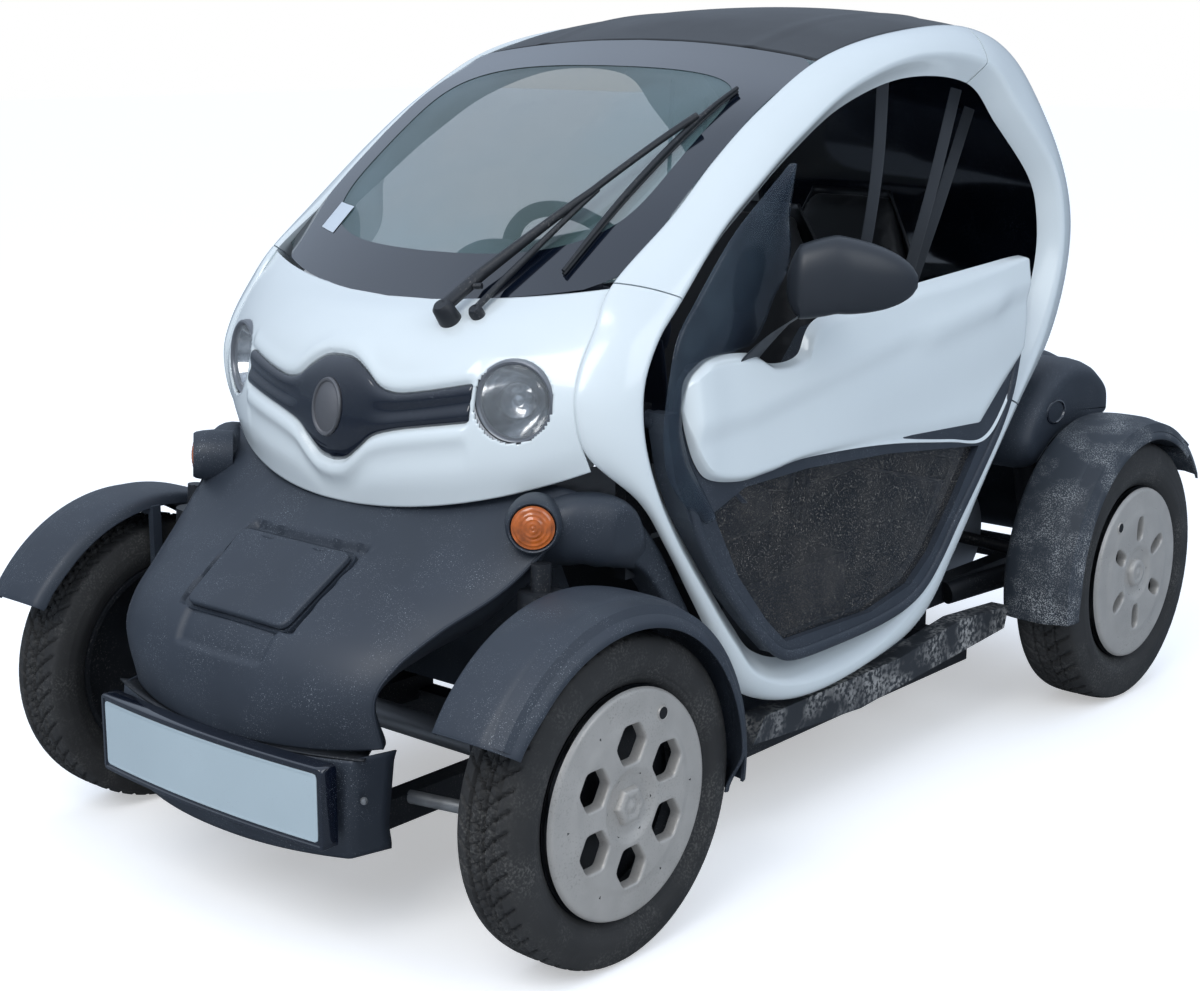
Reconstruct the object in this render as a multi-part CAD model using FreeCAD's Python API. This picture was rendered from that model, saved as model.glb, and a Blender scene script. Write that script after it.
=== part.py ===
# Electric quadricycle: a narrow two-seat tandem electric car with open sides and lift-up doors.
# Millimetres. +X is the vehicle's left, +Y its rear, +Z up, the floor at z = 0.
# Places along the vehicle are given as the distance behind the front axle.
import FreeCAD, Part
import math
import os
from FreeCAD import Vector

# Overall places
WHEELBASE = 1686.0
FRONT_OVERHANG = 333.0
REAR_OVERHANG = 319.0
FRONT_TRACK = 1094.0
REAR_TRACK = 1080.0
FRONT_AXLE_Y = (FRONT_OVERHANG - WHEELBASE - REAR_OVERHANG) / 2.0
MIRROR_HALF_WIDTH = 698.0

# Wheels
FRONT_TYRE_R = 263.0
REAR_TYRE_R = 279.0
FRONT_TYRE_W = 125.0
REAR_TYRE_W = 145.0
BEAD_R = 186.0
COVER_R = 182.0
COVER_T = 7.0
HUB_R = 42.0
SPINDLE_R = 15.0
RUNNING_FIT = 0.05
SEAT_GAP = 0.3
SLIVER_VOLUME = 500.0
HEX_HOLE_FLATS = 57.0
HOLE_PITCH_R = 90.0
WHEEL_HOLES = 6

# Side openings lean inwards towards the roof
SIDE_X_SILL = 515.0
SILL_Z = 300.0
SIDE_LEAN = math.tan(math.radians(3.0))
JAMB_DEPTH = 34.0
PILLAR_X = 400.0
EDGE_RETURN = 18.0
JAMB_SLOPE = 34.0
BAND_CROWN = 9.0

# Shell thicknesses
GLASS_T = 5.0
PANEL_T = 10.0
LOFT_DEGREE = 3
DOOR_INNER_W = -30.0
DOOR_OUTER_W = 10.7
SKIN_T = 24.0
DEFLECTOR_W = 11.0
DEFLECTOR_T = 4.0

# Steering
KINGPIN_X = 470.0
KINGPIN_R = 12.0
STEER_ARM_Y = 110.0
STEER_ARM_Z = 245.0
RACK_Z = 230.0
WHEEL_RIM_R = 172.0
WHEEL_TUBE_R = 14.0
COLUMN_TILT = 28.0

# Chassis
RAIL_Z0 = 128.0
RAIL_H = 55.0
RAIL_W = 50.0
RAIL_X = 385.0
FRONT_RAIL_X = 190.0
REAR_RAIL_X = 270.0

# Lamps
HEADLAMP_R = 62.5
HEADLAMP_X = 321.0
HEADLAMP_Y = 62.0
HEADLAMP_Z = 838.0
INDICATOR_R = 36.0

# Mudguards: first and last angle round the wheel (0 at the rear, 90 on top), then the radius there
FRONT_GUARD = (-8, 148, -21.7, 3.0, 313.9)
REAR_GUARD = (32, 190, 9.5, 3.6, 318.0)
GUARD_T = 6.0

# The lift-up doors turn about a pin that leans out at the top
HINGE_Y = 235.0
HINGE_Z = 800.0
HINGE_LEAN = 10.0
HINGE_PIN_R = 8.0


def at(x, y, z):
    """A point whose y is given behind the front axle."""
    return Vector(x, FRONT_AXLE_Y + y, z)


def side_x(z):
    """The half width of the side opening's plane at a height."""
    return SIDE_X_SILL - (z - SILL_Z) * SIDE_LEAN


def on_side(w, y, z):
    """A point w outboard of the leaning plane of the left side opening."""
    return at(side_x(z) + w, y, z)


def mirrored(shape):
    return shape.mirror(Vector(0, 0, 0), Vector(1, 0, 0))


def pair(shape):
    return Part.makeCompound([shape, mirrored(shape)])


def polygon(points):
    return Part.makePolygon(list(points) + [points[0]])


def prism(points, push):
    return Part.Face(polygon(points)).extrude(push)


def block(x0, x1, y0, y1, z0, z1):
    return Part.makeBox(x1 - x0, y1 - y0, z1 - z0, at(x0, y0, z0))


def rod(start, end, radius):
    run = end - start
    return Part.makeCylinder(radius, run.Length, start, run)


def profile_x(yz, x0, x1):
    """A side-view outline carried across the vehicle from x0 to x1."""
    return prism([at(x0, y, z) for y, z in yz], Vector(x1 - x0, 0, 0))


def side_plate(yz, w0, w1):
    """A side-view outline laid in the leaning side plane, from w0 to w1 outboard of it."""
    return prism([on_side(w0, y, z) for y, z in yz], Vector(w1 - w0, 0, 0))


def fuse(shapes):
    out = shapes[0]
    for shape in shapes[1:]:
        out = out.fuse(shape)
    return out.removeSplitter()


def loft(wires):
    return Part.makeLoft(wires, True, False, False, LOFT_DEGREE)


def shell_loft(rows, outer, inner):
    """A curved panel between the hoops.

    Each row gives a level's edge (x, y, z) and its middle (y, z). The outer and inner faces
    stand off that arc by outer and inner, measured along the row's outward direction (y, z)
    but moved within the arc's own plane.
    """
    wires = []
    for ex, ey, ez, my, mz, ny, nz in rows:
        bow_y, bow_z = my - ey, mz - ez
        bow = math.hypot(bow_y, bow_z)
        facing = (bow_y * ny + bow_z * nz) / (bow * math.hypot(ny, nz))
        push_y, push_z = bow_y / bow / facing, bow_z / bow / facing

        def arc_at(stand):
            left = at(ex, ey + push_y * stand, ez + push_z * stand)
            middle = at(0, my + push_y * stand, mz + push_z * stand)
            right = at(-ex, ey + push_y * stand, ez + push_z * stand)
            return left, middle, right

        a, b, c = arc_at(outer)
        d, e, f = arc_at(inner)
        wires.append(Part.Wire([
            Part.Arc(a, b, c).toShape(), Part.makeLine(c, f),
            Part.Arc(f, e, d).toShape(), Part.makeLine(d, a)]))
    return loft(wires)


# The hoop round each side opening: the outer edge (x, y, z) and the crease (y, z) at the opening,
# with the direction (y, z) that points from the crease into the opening
HOOP_FRONT = [
    (427, 112, 755, 182, 761, 1.00, 0.10),
    (418, 92, 830, 176, 828, 1.00, -0.05),
    (412, 108, 888, 188, 882, 0.95, -0.30),
    (407, 150, 950, 226, 940, 0.80, -0.60),
    (PILLAR_X, 203, 1017, 283, 991, 0.68, -0.73),
]
HOOP_STRIP = [
    (470, 452, 298, 470, 328, 0.55, 0.83),
    (480, 376, 395, 400, 400, 0.80, 0.60),
    (480, 311, 492, 325, 500, 0.83, 0.55),
    (478, 244, 594, 255, 600, 0.86, 0.50),
    (468, 188, 676, 210, 681, 0.95, 0.30),
    (427, 112, 755, 182, 761, 1.00, 0.10),
]
HOOP_SILL = [
    (430, 1440, 655, 1340, 680, -0.77, 0.64),
    (455, 1277, 545, 1246, 583, -0.72, 0.69),
    (475, 1140, 402, 1100, 452, -0.68, 0.73),
    (480, 1008, 287, 983, 356, -0.50, 0.87),
    (485, 795, 254, 791, 293, -0.08, 1.00),
    (485, 598, 250, 600, 288, 0.08, 1.00),
    (470, 452, 298, 470, 328, 0.55, 0.83),
]
HOOP_ROOF = [
    (PILLAR_X, 203, 1017, 283, 991, 0.68, -0.73),
    (PILLAR_X, 347, 1111, 392, 1090, 0.62, -0.78),
    (PILLAR_X, 460, 1197, 492, 1156, 0.53, -0.85),
    (PILLAR_X, 588, 1277, 614, 1230, 0.45, -0.89),
    (PILLAR_X, 768, 1359, 786, 1311, 0.25, -0.97),
    (PILLAR_X, 1000, 1401, 1002, 1357, 0.00, -1.00),
    (PILLAR_X, 1240, 1409, 1229, 1341, -0.25, -0.97),
]
HOOP_REAR = [
    (PILLAR_X, 1240, 1409, 1229, 1341, -0.25, -0.97),
    (PILLAR_X, 1430, 1352, 1355, 1251, -0.70, -0.71),
    (PILLAR_X, 1590, 1210, 1490, 1137, -0.85, -0.53),
    (PILLAR_X, 1690, 1055, 1530, 1040, -0.99, -0.10),
    (PILLAR_X, 1695, 920, 1520, 930, -0.97, 0.25),
    (408, 1620, 780, 1450, 800, -0.88, 0.48),
    (430, 1440, 655, 1340, 680, -0.77, 0.64),
]


def hoop_section(row):
    ax, ay, az, by, bz, iy, iz = row
    a = at(ax, ay, az)
    b = on_side(0, by, bz)
    c = b + Vector(-JAMB_DEPTH, iy * JAMB_SLOPE, iz * JAMB_SLOPE)
    level = (c - b) + (b - a) * (JAMB_DEPTH / (b - a).x)
    d = a + level.normalize() * EDGE_RETURN
    across = (b - a).normalize()
    out = (b - c) - across * across.dot(b - c)
    crown = (a + b) * 0.5 + out.normalize() * BAND_CROWN
    return Part.Wire([
        Part.Arc(a, crown, b).toShape(), Part.makeLine(b, c),
        Part.makeLine(c, d), Part.makeLine(d, a)])


def hoop_piece(rows):
    return loft([hoop_section(row) for row in rows])


# Windscreen, roof, rear and nose levels: edge x, y, z; middle y, z; outward direction y, z
SCREEN = [
    (PILLAR_X - SEAT_GAP, 240, 1020, 112, 981, -0.60, 0.80),
    (PILLAR_X - SEAT_GAP, 397, 1147, 312, 1140, -0.60, 0.80),
    (PILLAR_X - SEAT_GAP, 572, 1266, 528, 1278, -0.50, 0.87),
    (PILLAR_X - SEAT_GAP, 749, 1349, 757, 1381, -0.40, 0.92),
]
ROOF = [
    (PILLAR_X - SEAT_GAP, 754, 1352, 762, 1383, -0.30, 0.95),
    (PILLAR_X - SEAT_GAP, 925, 1391, 930, 1424, -0.15, 0.99),
    (PILLAR_X - SEAT_GAP, 1110, 1409, 1120, 1443, 0.00, 1.00),
    (PILLAR_X - SEAT_GAP, 1300, 1400, 1310, 1438, 0.10, 0.99),
    (PILLAR_X - SEAT_GAP, 1418, 1360, 1450, 1396, 0.30, 0.95),
]
REAR_PANEL = [
    (PILLAR_X - SEAT_GAP, 1424, 1340, 1452, 1378, 0.70, 0.70),
    (PILLAR_X - SEAT_GAP, 1585, 1200, 1622, 1222, 0.80, 0.60),
    (PILLAR_X - SEAT_GAP, 1682, 1055, 1722, 1065, 1.00, 0.10),
    (PILLAR_X - SEAT_GAP, 1687, 920, 1728, 912, 1.00, -0.10),
    (PILLAR_X - SEAT_GAP, 1612, 785, 1650, 770, 0.90, -0.45),
]
NOSE = [
    (425, 122, 731, -20, 645, -1.00, -0.10),
    (421, 104, 778, -36, 712, -1.00, 0.00),
    (416, 96, 830, -32, 800, -1.00, 0.05),
    (410, 112, 888, -10, 890, -0.95, 0.30),
    (405, 154, 950, 46, 946, -0.80, 0.60),
    (399, 206, 1008, 104, 974, -0.60, 0.80),
]
FRONT_BODY = [
    (302, -231, 338, -300, 322, -1.00, 0.00),
    (303, -248, 418, -303, 410, -1.00, 0.10),
    (318, -215, 475, -262, 494, -0.80, 0.60),
    (345, -140, 526, -160, 565, -0.50, 0.87),
    (392, -35, 587, -45, 627, -0.50, 0.87),
    (436, 108, 704, 96, 712, -0.50, 0.87),
]
BUMPER = [
    (268, -250, 170, -311, 190, -1.00, 0.00),
    (292, -246, 250, -314, 258, -1.00, 0.00),
    (300, -231, 326, -301, 309, -1.00, 0.10),
]

# Side-view outlines (distance behind the front axle, height)
CHEEK = [(30, 648), (118, 688), (166, 680), (243, 600), (308, 500), (372, 404), (440, 318),
         (452, 258), (352, 250), (350, 335), (318, 410), (262, 490), (210, 552), (150, 592)]
SKIRT = [(490, 192), (831, 170), (1362, 204), (1378, 249), (1185, 262), (965, 236), (526, 236)]
DOOR_FRAME = [(268, 640), (306, 584), (371, 495), (446, 416), (504, 362), (562, 346), (800, 349),
              (938, 370), (1016, 418), (1096, 494), (1176, 568), (1254, 644), (1294, 694),
              (1330, 782), (1340, 868), (1325, 940), (1187, 944), (971, 934), (772, 918),
              (640, 904), (570, 840), (540, 798), (300, 772), (256, 788), (248, 816), (222, 816),
              (222, 784), (236, 710)]
DOOR_LIGHT = [(330, 640), (395, 520), (470, 430), (525, 380), (790, 374), (925, 396), (1000, 442),
              (1080, 518), (1150, 592), (1175, 620), (1123, 626), (855, 655), (600, 670), (420, 668)]
DOOR_SKIN = [(254, 839), (261, 862), (333, 893), (433, 882), (490, 860), (568, 867), (618, 923),
             (772, 939), (971, 952), (1187, 964), (1322, 969), (1345, 936), (1341, 868),
             (1315, 772), (1252, 691), (1188, 638), (1123, 638), (855, 672), (600, 693),
             (483, 689), (399, 683), (339, 690), (290, 721), (263, 790)]
DEFLECTOR = [(218, 702), (202, 762), (206, 800), (246, 826), (250, 876), (254, 930), (292, 983), (396, 1081),
             (494, 1147), (566, 1192), (578, 1160), (574, 1061), (506, 968), (440, 890), (433, 860),
             (333, 870), (280, 850), (270, 800), (290, 730), (262, 690)]
REAR_BODY = [(1442, 600), (1480, 640), (1640, 720), (1800, 712), (1905, 650), (1935, 560),
             (1930, 420), (1965, 390), (1968, 300), (1930, 270), (1880, 270), (1860, 330),
             (1880, 400), (1880, 540), (1860, 620), (1780, 672), (1650, 682), (1500, 606), (1454, 570)]
HAUNCH = [(1480, 560), (1520, 640), (1640, 716), (1760, 706), (1850, 650), (1856, 580),
          (1790, 556), (1690, 560), (1610, 545), (1540, 500)]
FLOOR = [(300, 232), (520, 183), (1180, 183), (1240, 240), (1372, 490), (1352, 490), (1222, 256),
         (1172, 201), (526, 201), (312, 250), (170, 560), (158, 640), (142, 640), (150, 556)]
DASH = [(164.3, 600), (158.3, 640), (190, 880), (250, 925), (340, 935), (420, 900), (450, 840),
        (420, 760), (330, 700), (300, 600)]
BINNACLE = [(260, 900), (300, 990), (360, 1032), (440, 1036), (476, 1000), (450, 880), (420, 860)]
SEAT_DRIVER = [(600, 500), (620, 540), (760, 545), (930, 520), (985, 560), (1085, 1050), (1150, 1055),
               (1165, 1010), (1060, 520), (1030, 400.3), (640, 400.3)]
SEAT_PASSENGER = [(1130, 530), (1146, 572), (1260, 570), (1330, 562), (1368, 600), (1450, 1070),
                  (1495, 1075), (1510, 1040), (1424, 600), (1398, 500), (1366, 490.3), (1340, 490.3)]


def build_hoops():
    """The hoops, split where the real panels meet."""
    lower = fuse([hoop_piece(HOOP_SILL), hoop_piece(HOOP_STRIP), hoop_piece(HOOP_FRONT)])
    return {
        "hoop_lower": pair(lower),
        "hoop_roof": pair(hoop_piece(HOOP_ROOF)),
        "hoop_rear": pair(hoop_piece(HOOP_REAR)),
    }


def lamp_axis():
    return Vector(0.36, -0.93, 0.06).normalize()


def lamp_cylinder(radius, start, end):
    """A cylinder on the left headlamp's axis, between two distances in front of its face."""
    centre = at(HEADLAMP_X, HEADLAMP_Y, HEADLAMP_Z)
    axis = lamp_axis()
    return Part.makeCylinder(radius, end - start, centre + axis * start, axis)


def build_nose():
    """The white nose, its gloss band and the headlamps that close the band's ends."""
    below = profile_x([(-140, 567), (160, 747), (160, 500), (-140, 500)], -500, 500)
    nose = shell_loft(NOSE, 0.0, -PANEL_T).cut(below)
    hole = lamp_cylinder(HEADLAMP_R + 3.0, -80, 60)
    nose = nose.cut(hole).cut(mirrored(hole))
    band_outline = [(-262, 868), (-120, 838), (-60, 872), (0, 894), (60, 872), (120, 838), (262, 868),
                    (262, 800), (120, 772), (50, 735), (0, 712), (-50, 735), (-120, 772), (-262, 800)]
    window = prism([at(x, -120, z) for x, z in band_outline], Vector(0, 260, 0))
    band = shell_loft(NOSE, 6.0, SEAT_GAP).common(window).cut(hole).cut(mirrored(hole))
    bowl = lamp_cylinder(HEADLAMP_R + 2.7, -62, 4).cut(lamp_cylinder(HEADLAMP_R - 3.0, -56, 6))
    lens = lamp_cylinder(HEADLAMP_R - 3.0 - SEAT_GAP, -4, 2)
    return {
        "nose_panel": nose,
        "grille_band": band,
        "headlamps": pair(bowl),
        "headlamp_lenses": pair(lens),
    }


FLAP_TOP = (-113.0, 594.0)
FLAP_BOTTOM = (-250.0, 501.0)
FLAP_HALF_TOP = 131.0
FLAP_HALF_BOTTOM = 118.0
FLAP_CLEARANCE = 5.0
FLAP_HINGE_OFFSET = 5.0


def flap_frame():
    """The charge flap's directions down its slope and outwards, and the middle of its hinge."""
    run = Vector(0, FLAP_BOTTOM[0] - FLAP_TOP[0], FLAP_BOTTOM[1] - FLAP_TOP[1]).normalize()
    normal = Vector(0, run.z, -run.y)
    return run, normal, at(0, *FLAP_TOP) - run * FLAP_HINGE_OFFSET


def flap_plate(grow, low, high):
    """The charge flap's tapered plate, between two heights along its own normal."""
    run, normal, hinge = flap_frame()
    top = at(0, *FLAP_TOP) - run * grow + normal * low
    bottom = at(0, *FLAP_BOTTOM) + run * grow + normal * low
    across_top = Vector(FLAP_HALF_TOP + grow, 0, 0)
    across_bottom = Vector(FLAP_HALF_BOTTOM + grow, 0, 0)
    corners = [top - across_top, top + across_top, bottom + across_bottom, bottom - across_bottom]
    return prism(corners, normal * (high - low))


def build_front():
    """The dark front body with its charge bay and flap, the bumper and its plate."""
    body = shell_loft(FRONT_BODY, 0.0, -PANEL_T)
    cheek = profile_x(CHEEK, 410, 468)
    body = fuse([body, cheek, mirrored(cheek)])
    bay = flap_plate(FLAP_CLEARANCE, -45, 25)
    tray = flap_plate(14, -52, -3).cut(flap_plate(FLAP_CLEARANCE, -46, 0))
    run, normal, hinge = flap_frame()
    across = Vector(1, 0, 0)
    corner = hinge - across * 52 - run * 13 - normal * 14
    well = prism([corner, corner + across * 104, corner + across * 104 + run * 22, corner + run * 22],
                 normal * 50)
    lug = Part.makeCylinder(9, 9, hinge + across * 45, across)
    pin = Part.makeCylinder(2.5, 106, hinge - across * 53, across)
    body = fuse([fuse([body.cut(bay), tray]).cut(well), lug, mirrored(lug), pin])
    barrel = Part.makeCylinder(5.5, 80, hinge - across * 40, across)
    hole = Part.makeCylinder(2.5 + RUNNING_FIT, 90, hinge - across * 45, across)
    notch = Part.makeCylinder(14, 16, hinge + across * 42, across)
    flap = fuse([flap_plate(0, -6, 0).cut(notch).cut(mirrored(notch)), barrel]).cut(hole)
    pod_axis = Vector(0.62, -0.78, 0.05).normalize()
    pod_at = at(407, 7, 660)
    pod = Part.makeCylinder(INDICATOR_R + 12, 60, pod_at - pod_axis * 56, pod_axis)
    pocket = Part.makeCylinder(INDICATOR_R + SEAT_GAP, 30, pod_at - pod_axis * 16, pod_axis)
    body = fuse([body, pod, mirrored(pod)]).cut(pocket).cut(mirrored(pocket))
    indicator = Part.makeCylinder(INDICATOR_R, 14, pod_at - pod_axis * 15.7, pod_axis)
    bumper = shell_loft(BUMPER, 0.0, -16.0)
    plate = block(-260, 260, -333, -327, 206, 316)
    holder = block(-268, 268, -326.7, -290, 196, 326)
    holder = holder.cut(shell_loft(BUMPER, 0.0, -60.0))
    return {
        "front_body": body,
        "charge_flap": flap,
        "bumper": fuse([bumper, holder]),
        "number_plate": plate,
        "front_indicators": pair(indicator),
    }


def build_rear():
    """The rear shell, haunches, lamps and mudguards."""
    shell = profile_x(REAR_BODY, -330, 330)
    haunch = profile_x(HAUNCH, 330, 444)
    body = fuse([shell, haunch, mirrored(haunch)])
    pocket = Part.makeCylinder(48 + SEAT_GAP, 80, at(235, 1915, 500), Vector(0, 1, 0))
    body = body.cut(pocket).cut(mirrored(pocket))
    lamp = Part.makeCylinder(48, 26, at(235, 1915 + SEAT_GAP, 500), Vector(0, 1, 0))
    return {
        "rear_body": body,
        "rear_panel": shell_loft(REAR_PANEL, 0.0, -14.0),
        "tail_lamps": pair(lamp),
    }


def wheel_guard(centre, table, half_width):
    """A mudguard: a crowned strip turned from one angle to another about its own centre."""
    first, last, off_y, off_z, radius = table
    middle = centre + Vector(0, off_y, off_z)
    out = Vector(0, math.cos(math.radians(first)), math.sin(math.radians(first)))
    outer = [(-half_width, -20.0), (-half_width + 8, -3.0), (-half_width * 0.5, 3.0),
             (half_width * 0.5, 3.0), (half_width - 8, -3.0), (half_width, -20.0)]
    inner = [(half_width - GUARD_T, -20.0), (half_width - 12, -3.0 - GUARD_T),
             (half_width * 0.5, 3.0 - GUARD_T), (-half_width * 0.5, 3.0 - GUARD_T),
             (-half_width + 12, -3.0 - GUARD_T), (-half_width + GUARD_T, -20.0)]
    points = [middle + Vector(along, 0, 0) + out * (radius + rise) for along, rise in outer + inner]
    return Part.Face(polygon(points)).revolve(middle, Vector(1, 0, 0), last - first)


def ring(profile, centre, axis):
    """Turns an outline of (distance along the axis, radius) about the axis."""
    side = Vector(0, 0, 1)
    points = [centre + axis * along + side * radius for along, radius in profile]
    return Part.Face(polygon(points)).revolve(centre, axis, 360)


def tyre(centre, radius, width):
    half = width / 2.0
    outline = [(-half * 0.78, radius - 4), (-half * 0.45, radius), (half * 0.45, radius),
               (half * 0.78, radius - 4), (half, radius - 34), (half - 4, BEAD_R + 14),
               (half - 16, BEAD_R), (-half + 16, BEAD_R), (-half, radius - 34)]
    return ring(outline, centre, Vector(1, 0, 0))


def road_wheel(centre, width, rear):
    """Rim, hub and cover of one left wheel, turned about its own axis."""
    half = width / 2.0
    rim_r = BEAD_R - SEAT_GAP
    barrel = ring([(-half + 16, rim_r), (half - 18, rim_r), (half - 18, rim_r - 12),
                   (-half + 16, rim_r - 12)], centre, Vector(1, 0, 0))
    disc = ring([(8, SPINDLE_R + RUNNING_FIT), (8, 150), (20, rim_r - 8), (28, rim_r - 8),
                 (18, 145), (18, HUB_R), (40, HUB_R), (40, SPINDLE_R + RUNNING_FIT)],
                centre, Vector(1, 0, 0))
    hub = ring([(-30, SPINDLE_R + RUNNING_FIT), (-30, HUB_R), (8, HUB_R), (8, SPINDLE_R + RUNNING_FIT)],
               centre, Vector(1, 0, 0))
    face = half + 5.0
    cover = ring([(face - COVER_T - 10, 0), (face - COVER_T - 10, 60), (face - COVER_T, 120),
                  (face - COVER_T, COVER_R - 6), (half - 18, COVER_R - 6), (half - 18, COVER_R - 1),
                  (face - 3, COVER_R), (face, COVER_R - 10), (face, 122), (face - 10, 60),
                  (face - 10, 0)], centre, Vector(1, 0, 0))
    for i in range(WHEEL_HOLES):
        angle = math.radians(60.0 * i + 30.0)
        middle = centre + Vector(0, math.cos(angle), math.sin(angle)) * HOLE_PITCH_R
        sides = 6
        reach = HEX_HOLE_FLATS / 2.0 / math.cos(math.pi / sides)
        narrow = 0.74 if rear else 1.0
        corners = []
        for k in range(sides):
            turn = angle + math.pi / sides + 2.0 * math.pi * k / sides
            along = math.cos(turn - angle) * reach
            across = math.sin(turn - angle) * reach * narrow
            corners.append(middle + Vector(face - 40, along * math.cos(angle) - across * math.sin(angle),
                                           along * math.sin(angle) + across * math.cos(angle)))
        cover = cover.cut(prism(corners, Vector(60, 0, 0)))
    boss = Part.makeCylinder(30, 14, centre + Vector(face - 16, 0, 0), Vector(1, 0, 0))
    return fuse([barrel, disc, hub, cover.fuse(boss)])


def build_wheels():
    parts = {}
    table = [("front", FRONT_TRACK / 2.0, 0.0, FRONT_TYRE_R, FRONT_TYRE_W, False),
             ("rear", REAR_TRACK / 2.0, WHEELBASE, REAR_TYRE_R, REAR_TYRE_W, True)]
    for name, x, y, radius, width, rear in table:
        centre = at(x, y, radius)
        rubber = tyre(centre, radius, width)
        wheel = road_wheel(centre, width, rear)
        parts["tyre_" + name + "_left"] = rubber
        parts["tyre_" + name + "_right"] = mirrored(rubber)
        parts["wheel_" + name + "_left"] = wheel
        parts["wheel_" + name + "_right"] = mirrored(wheel)
    return parts


def build_steering():
    """Knuckles, struts, arms, the rack with its tie rods, the column and the steering wheel."""
    axle = at(FRONT_TRACK / 2.0, 0, FRONT_TYRE_R)
    upright = block(KINGPIN_X - 16, KINGPIN_X + 14, -28, 28, 207, 325)
    spindle = rod(at(KINGPIN_X + 14, 0, FRONT_TYRE_R), axle + Vector(38, 0, 0), SPINDLE_R)
    pin = rod(at(KINGPIN_X, 0, 182), at(KINGPIN_X, 0, 348), KINGPIN_R)
    arm = block(KINGPIN_X - 24, KINGPIN_X, 20, STEER_ARM_Y + 14, STEER_ARM_Z, STEER_ARM_Z + 14)
    knuckle = fuse([upright, spindle, pin, arm])
    guard_x = FRONT_TRACK / 2.0 + 4
    guard = wheel_guard(at(guard_x, 0, FRONT_TYRE_R), FRONT_GUARD, 72)
    stay = block(KINGPIN_X - 4, KINGPIN_X + 9, -46, -28, 290, 300 + FRONT_TYRE_R - 4)
    stay = stay.fuse(block(KINGPIN_X - 4, KINGPIN_X + 40, -46, -28, 286 + FRONT_TYRE_R, 302 + FRONT_TYRE_R))
    lower_eye = eye(at(KINGPIN_X, 0, 186), 14)
    arm_front = rod(at(FRONT_RAIL_X + 35, -90, 205), at(KINGPIN_X - 20, -6, 189), 11)
    arm_rear = rod(at(FRONT_RAIL_X + 35, 95, 205), at(KINGPIN_X - 20, 6, 189), 11)
    bore = rod(at(KINGPIN_X, 0, 150), at(KINGPIN_X, 0, 230), KINGPIN_R + RUNNING_FIT)
    lower_arm = fuse([lower_eye, arm_front, arm_rear]).cut(bore)
    top_eye = eye(at(KINGPIN_X, 0, 330), 14)
    strut_x = 424
    link = block(strut_x, KINGPIN_X - 20, -12, 12, 332, 342)
    damper = rod(at(strut_x, 0, 326), at(strut_x - 8, 16, 604), 16)
    spring = rod(at(strut_x - 3, 6, 400), at(strut_x - 7, 14, 560), 36)
    high_bore = rod(at(KINGPIN_X, 0, 300), at(KINGPIN_X, 0, 380), KINGPIN_R + RUNNING_FIT)
    strut = fuse([top_eye, link, damper, spring]).cut(high_bore)
    rack = rod(at(-300, STEER_ARM_Y, RACK_Z), at(300, STEER_ARM_Y, RACK_Z), 11)
    tie = rod(at(300, STEER_ARM_Y, RACK_Z), at(KINGPIN_X - 12, STEER_ARM_Y, RACK_Z), 7)
    rack = fuse([rack, tie, mirrored(tie)])
    housing = rod(at(-FRONT_RAIL_X, STEER_ARM_Y, RACK_Z), at(FRONT_RAIL_X, STEER_ARM_Y, RACK_Z), 24)
    housing = housing.cut(rod(at(-FRONT_RAIL_X - 5, STEER_ARM_Y, RACK_Z), at(FRONT_RAIL_X + 5, STEER_ARM_Y, RACK_Z), 11.0 + RUNNING_FIT))
    tilt = math.radians(COLUMN_TILT)
    axis = Vector(0, math.cos(tilt), math.sin(tilt))
    hub = at(0, 600, 935)
    rim = Part.makeTorus(WHEEL_RIM_R, WHEEL_TUBE_R, hub, axis)
    boss = Part.makeCylinder(45, 40, hub - axis * 45, axis)
    side = Vector(1, 0, 0)
    up = axis.cross(side)
    spokes = [rod(hub - axis * 12, hub + side * (WHEEL_RIM_R - 4) * s, 9) for s in (1, -1)]
    spokes.append(rod(hub - axis * 12, hub + up * (WHEEL_RIM_R - 4) * (1 if up.z < 0 else -1), 9))
    wheel = fuse([rim, boss] + spokes)
    column = Part.makeCylinder(22, 190, hub - axis * (45 + 190 + SEAT_GAP), axis)
    return {
        "knuckle_left": knuckle,
        "knuckle_right": mirrored(knuckle),
        "mudguard_front_left": fuse([guard, stay]),
        "mudguard_front_right": mirrored(fuse([guard, stay])),
        "front_arms": pair(lower_arm),
        "front_struts": pair(strut),
        "steering_rack": rack,
        "rack_housing": housing,
        "steering_wheel": wheel,
        "steering_column": column,
    }


def eye(centre, height):
    """A round boss standing on a point; its bore is cut by the caller."""
    return Part.makeCylinder(26, height, centre)


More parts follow.
